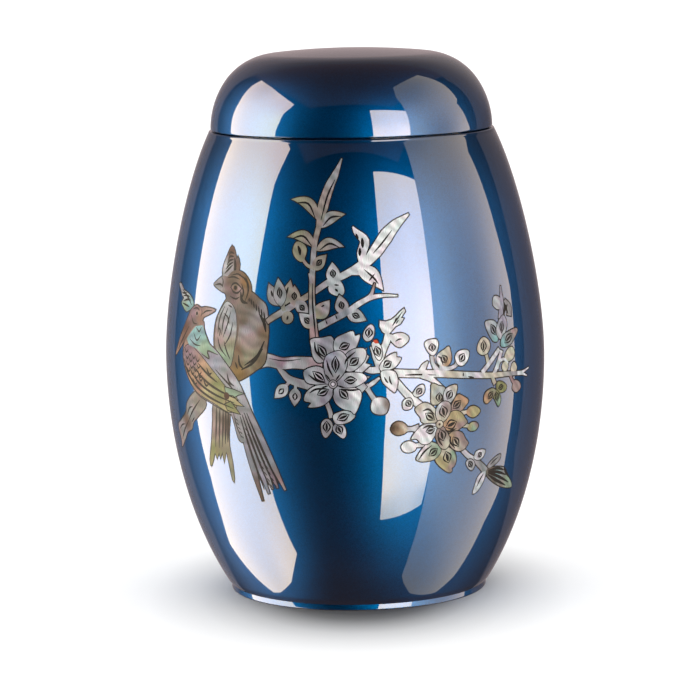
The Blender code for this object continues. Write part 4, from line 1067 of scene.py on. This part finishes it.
def branch_right(m):
    """The long thin branch that runs off to the right, with buds, a flower and small leaves."""
    m.twig([(-195, -72), (-218, -37), (-224, 0)], (26, 16, 16), "pearl")
    m.bloom([(-256, 51), (-247, 68), (-222, 74), (-197, 72), (-189, 49), (-199, 17), (-218, 2),
        (-239, 17)], "white", (-221, 57), (-219, 19))
    m.bloom([(-201, -13), (-189, 8), (-158, 25), (-135, 36), (-127, 10), (-125, -25), (-142, -49),
        (-168, -55), (-192, -40)], [(-190, -25, "white"), (-143, 17, "cream"), (-145, -36, "peach")],
        (-170, 0), (-153, -38))
    m.strokes(5, [(-195, -5), (-179, -13), (-168, -47)])
    m.twig([(-188, -57), (-139, -64), (-103, -53), (-95, -40)], (20, 16, 18), "pearl")
    m.bloom([(-104, -19), (-92, 5), (-60, 14), (-32, 8), (-27, -10), (-40, -38), (-66, -57), (-93, -48)],
        "white", (-55, -1), (-80, -40))
    m.twig([(-277, -69), (-262, -43), (-244, -24)], (30, 24, 6), "white")
    m.twig([(87, -65), (81, -37), (71, -13)], (18, 15), "cream")
    m.bloom([(24, 16), (37, 42), (65, 60), (98, 40), (101, 8), (78, -18), (45, -18), (25, -2)], "cream",
        (65, 46), (60, -8))
    m.twig([(47, -101), (94, -63), (164, -5)], (22, 20), "pearl")
    m.twig([(124, -114), (150, -72), (180, -14)], (20, 18), "pearl")
    m.smooth([(159, 234), (186, 235), (211, 217), (212, 185), (179, 175), (147, 200)], "cloud")
    m.twig([(198, 131), (213, 204), (220, 277)], (44, 26, 5), "lavender")
    m.twig([(260, 138), (266, 178), (238, 211)], (36, 34, 16), "silver")
    m.strokes(9, [(232, 202), (233, 173), (222, 149)])
    m.strokes(8, [(256, 191), (244, 172), (254, 145)])
    m.strokes(6, [(218, 183), (218, 156), (208, 138)])
    m.bloom([(89, 130), (138, 128), (161, 107), (161, 72), (157, 34), (125, 36), (98, 75), (84, 109)],
        [(137, 51, "aqua"), (120, 79, "lavender"), (104, 115, "cloud")], (120, 114), (146, 60))
    m.bloom([(179, 39), (154, 62), (157, 96), (180, 127), (211, 145), (229, 127), (234, 99), (215, 66)],
        [(186, 59, "cloud"), (204, 124, "lavender")], (200, 121), (188, 64), 28)
    m.bloom([(176, 11), (193, 50), (238, 66), (302, 75), (319, 63), (293, 38), (255, 9), (206, 0)],
        [(196, 17, "aqua"), (244, 38, "silver"), (297, 62, "rose")], (204, 17), (273, 55), 34)
    m.smooth([(202, -46), (227, -14), (263, -7), (281, -34), (266, -61), (225, -69)], "cream")
    m.twig([(147, -96), (160, -65), (195, -55), (225, -79)], (14, 13), "pearl")
    m.disc((202, -90), 23, "cream")
    m.smooth([(248, -119), (257, -87), (278, -80), (297, -105), (284, -126)], "cream")
    m.twig([(242, -134), (257, -159), (275, -178)], (16, 15), "rose")
    m.smooth([(261, -189), (279, -165), (321, -179), (334, -206), (297, -223), (263, -206)], "rose")
    m.twig([(-405, -67), (-361, -71), (-278, -77), (-192, -83), (-116, -93), (-2, -107), (107, -120),
        (210, -126), (313, -135)], (34, 34, 29, 24, 18), [(-395, -66, "white"), (-191, -79, "white"),
        (-132, -90, "cream"), (-2, -106, "pearl"), (107, -120, "cream"), (295, -133, "silver")])
    m.strokes(5, [(-355, -79), (-299, -80), (-206, -88)], [(-62, -90), (-64, -107)])
    m.strokes(6, [(-2, -119), (-36, -111)])
    m.twig([(299, -134), (352, -134), (414, -123)], (18, 6), "pearl")
    m.twig([(299, -135), (349, -143), (395, -158)], (17, 6), "pearl")
    m.twig([(111, -123), (118, -142), (130, -162)], (18, 20), "cream")
    m.bloom([(139, -180), (146, -156), (180, -160), (213, -184), (198, -205), (150, -204)], "moss",
        (153, -187), (189, -178), 22)
    m.bloom([(131, -187), (156, -207), (172, -239), (157, -270), (133, -239), (115, -211)],
        [(137, -207, "moss"), (154, -250, "mint")], (140, -200), (149, -247), 24)
    m.bloom([(60, -233), (67, -197), (107, -181), (135, -194), (118, -220), (81, -247)],
        [(117, -198, "olive"), (79, -227, "peach")], (115, -196), (83, -228), 26)
    m.twig([(-274, -85), (-229, -105), (-167, -149)], (26, 24, 6), "white")


def blossom_right(m):
    """The blossom low on the right, with four buds and the twig that carries it."""
    m.twig([(-219, 224), (-162, 154), (-85, 83)], (28, 34), "white")
    m.bloom([(-122, 167), (-103, 185), (-81, 188), (-76, 163), (-88, 144), (-114, 135), (-130, 149)],
        "white", (-115, 148), (-89, 173), 26)
    m.bloom([(-180, 112), (-166, 128), (-144, 131), (-133, 113), (-137, 89), (-155, 79), (-176, 84)],
        "white", (-162, 123), (-144, 92), 26)
    m.twig([(108, 42), (132, 42), (150, 45)], (20, 15), "cream")
    m.smooth([(143, 45), (161, 64), (192, 66), (224, 43), (211, 24), (183, 14), (154, 27)],
        [(153, 48, "peach"), (188, 37, "straw"), (215, 48, "straw")])
    m.twig([(122, -15), (143, -19), (162, -25)], (20, 15), "cream")
    m.smooth([(155, -25), (173, -10), (199, -10), (217, -28), (201, -47), (175, -48), (159, -39)],
        [(165, -22, "straw"), (192, -35, "mint"), (208, -20, "rose")])
    m.twig([(-104, -11), (-137, -12), (-163, -11)], (36, 18, 22), "pearl")
    m.smooth([(-235, -8), (-224, 16), (-197, 26), (-169, 13), (-155, -11), (-171, -31), (-203, -37),
        (-225, -26)], [(-228, -7, "umber"), (-210, -8, "bronze"), (-172, -10, "cream"),
        (-182, -20, "peach")])
    m.twig([(-67, -82), (-93, -89), (-121, -90)], (28, 15), "white")
    m.smooth([(-186, -92), (-168, -72), (-140, -70), (-114, -86), (-117, -110), (-142, -121),
        (-171, -116)], "white")
    m.bloom([(-42, 103), (-43, 154), (-39, 191), (-5, 178), (26, 166), (18, 127), (-4, 98), (-26, 93)],
        [(-31, 180, "cream"), (-6, 151, "cloud"), (-13, 111, "cream")], (-1, 147), (-5, 104))
    m.bloom([(20, 112), (23, 151), (47, 170), (87, 174), (84, 135), (63, 103), (40, 92)],
        [(75, 164, "cream"), (47, 140, "pearl"), (40, 107, "cloud")], (60, 154), (38, 112))
    m.bloom([(56, 56), (67, 94), (94, 129), (126, 117), (153, 96), (132, 69), (109, 51), (80, 44)],
        [(135, 101, "peach"), (94, 108, "peach"), (87, 68, "rose")], (68, 67), (111, 100))
    m.bloom([(12, -1), (34, 32), (72, 56), (112, 45), (136, 15), (149, -6), (115, -27), (76, -44),
        (36, -38)], [(121, 24, "straw"), (80, 38, "straw"), (122, -10, "rose"), (35, -9, "peach")],
        (32, -17), (91, 4), 44)
    m.bloom([(49, -58), (76, -40), (121, -49), (143, -81), (161, -104), (139, -131), (106, -135),
        (72, -118), (50, -86)], [(139, -88, "rose"), (108, -57, "rose"), (87, -110, "cream"),
        (61, -73, "peach")], (73, -65), (109, -115))
    m.bloom([(-14, -163), (2, -130), (24, -112), (56, -115), (86, -138), (99, -174), (92, -204),
        (78, -213), (80, -229), (61, -232), (23, -208), (-1, -186)], [(5, -171, "straw"),
        (38, -195, "straw"), (79, -206, "rose"), (82, -144, "mint"), (41, -133, "cream")], (40, -130),
        (58, -188), 42)
    m.bloom([(-110, -150), (-81, -106), (-46, -80), (-1, -98), (12, -130), (-19, -162), (-71, -169),
        (-98, -164)], [(-88, -129, "white"), (-6, -125, "mint"), (-49, -160, "cream")], (-49, -145),
        (-5, -112))
    m.bloom([(-119, 71), (-113, 89), (-78, 106), (-45, 93), (-15, 60), (-9, 18), (-55, 5), (-88, 18),
        (-95, 39)], [(-99, 84, "cream"), (-78, 55, "white"), (-34, 31, "cream")], (-72, 57), (-25, 22))
    m.bloom([(-138, -58), (-116, -24), (-88, 0), (-55, 7), (-6, 0), (-8, -25), (-24, -52), (-49, -84),
        (-86, -85), (-112, -59)], [(-119, -44, "white"), (-47, -15, "pearl"), (-53, -70, "white")],
        (-69, -29), (-21, -20))
    m.bloom([(-2, -11), (18, -11), (46, -51), (59, -84), (42, -117), (10, -110), (-15, -66), (-16, -35)],
        [(5, -23, "rose"), (14, -69, "rose"), (39, -98, "cream")], (5, -24), (23, -80), 40)
    m.bloom([(-5, 11), (-20, 47), (-12, 84), (17, 104), (48, 96), (57, 64), (41, 30), (15, 9)],
        [(-5, 83, "pearl"), (25, 67, "rose"), (18, 27, "cream")], (10, 87), (26, 29), 40)
    m.strokes(6, [(-85, 68), (-56, 74), (-26, 48)], [(-84, -13), (-55, -2), (-20, -9)],
        [(29, -29), (51, -38), (90, -28)], [(62, -59), (60, -87), (88, -121)],
        [(-7, -39), (-1, -74), (20, -103)], [(-100, -160), (-73, -123), (-36, -96)])
    m.disc((0, 0), 17, "cream", 4)
    m.disc((0, 0), 6, "umber")


def sprig_low(m):
    """The small sprig under the right blossom, with narrow leaves and a half-open flower."""
    m.twig([(-206, 121), (-169, 89), (-120, 60), (-78, 29), (-40, -2)], (20, 24, 34),
        [(-188, 109, "pearl"), (-78, 33, "silver")])
    m.bloom([(-129, 75), (-121, 101), (-89, 108), (-62, 100), (-69, 76), (-91, 61), (-115, 63)], "pearl",
        (-106, 74), (-83, 93), 22)
    m.bloom([(-176, 57), (-158, 71), (-133, 61), (-121, 38), (-136, 15), (-162, 31)], "cloud", (-161, 61),
        (-136, 29), 22)
    m.smooth([(-33, 23), (-9, 45), (30, 64), (55, 65), (52, 43), (17, 22), (-18, 11)], "silver")
    m.strokes(5, [(-14, 26), (12, 43), (39, 55)])
    m.smooth([(-44, -1), (-72, -7), (-93, -28), (-101, -57), (-109, -100), (-78, -91), (-51, -55),
        (-40, -23)], "pearl")
    m.strokes(6, [(-55, -11), (-73, -38), (-89, -71)])
    m.smooth([(-40, -2), (-19, 11), (30, 10), (95, -2), (127, -26), (140, -46), (192, -83), (213, -114),
        (140, -105), (84, -88), (25, -61), (-27, -26)], [(-1, 1, "taupe"), (50, -27, "aqua"),
        (95, -12, "silver"), (140, -68, "mint"), (107, -88, "beige"), (35, -53, "taupe")])
    m.strokes(9, [(-23, -1), (44, 1), (103, -15)], [(-23, -7), (48, -17), (131, -43)],
        [(-24, -12), (54, -37), (169, -85)], [(-24, -19), (47, -56), (145, -96)],
        [(101, -6), (123, -28), (173, -66)])


# Each motif with its origin; each is laid over the ones before it
MOTIFS = (
    (bough, (-300, 1110)), (tail_rear, (-720, 810)), (perch, (-950, 880)),
    (bird_rear, (-580, 1410)), (bird_front, (-730, 1030)), (twig_right, (50, 1680)),
    (twig_left, (-310, 1480)), (twig_middle, (10, 1460)), (stem, (-190, 1700)),
    (branch_right, (580, 1220)), (sprig_low, (730, 650)), (blossom_right, (393, 903)),
    (sprig_centre, (140, 1250)), (blossom_left, (-102, 1109)),
)


def shell_material():
    """Satin mother-of-pearl: each piece's own tone, clouded pink and green, with fine growth lines and a
    painted sheen in broad diagonal bands.
    """
    made, tree, shader = new_material("mother_of_pearl")
    place = node(tree, "TexCoord", "Object")
    tone = node(tree, "VertexColor", "Color", layer_name="tone")
    cloud = node(tree, "TexNoise", "Fac", place, Scale=170.0, Detail=3.0, Distortion=1.2)
    growth = node(
        tree, "TexWave", "Fac", place, Scale=520.0, Distortion=9.0, Detail=2.0, Detail_Scale=0.6)
    # Painted sheen: broad diagonal bands that lighten and darken the shell's colour
    painted_sheen_bands = node(
        tree, "TexWave", "Fac", place, Scale=95.0, Distortion=5.0, Detail=1.0, bands_direction="DIAGONAL")
    clouded = node(
        tree, "VectorMath", "Vector", tone, ramp(tree, cloud, SHELL_CLOUDS), operation="MULTIPLY")
    # The fine growth lines times the painted sheen bands
    pattern = times(tree, between(tree, growth, 0.80, 1.12), between(tree, painted_sheen_bands, 0.80, 1.16))
    put(tree, shader, Base_Color=scaled(tree, clouded, pattern),
        Roughness=between(tree, cloud, 0.34, 0.48), Specular_IOR_Level=0.06)
    return made


def line_material():
    """The dark lacquer line round each piece and in each engraved stroke."""
    made, tree, shader = new_material("engraved_line")
    place = node(tree, "TexCoord", "Object")
    tone = node(tree, "VertexColor", "Color", layer_name="tone")
    wear = node(tree, "TexNoise", "Fac", place, Scale=900.0, Detail=2.0)
    put(tree, shader, Base_Color=scaled(tree, tone, between(tree, wear, 0.75, 1.25)),
        Roughness=0.5, Specular_IOR_Level=0.1)
    return made


def main():
    """Builds the studio, the urn and its inlay."""
    bpy.context.scene.view_settings.view_transform = "Standard"
    studio_camera()
    studio_world()
    studio_floor()
    studio_panels()
    key_light()
    lacquer = lacquer_material()
    body = turned("urn_body", body_profile(), lacquer)
    lid = turned("urn_lid", lid_profile(), lacquer)
    for piece, stands_for in ((body, "body"), (lid, "lid")):
        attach(piece, "root")
        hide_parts(stands_for)
    finishes = (shell_material(), line_material())
    for draw, origin in MOTIFS:
        motif = Motif(draw.__name__, origin)
        draw(motif)
        motif.finish(finishes)


main()
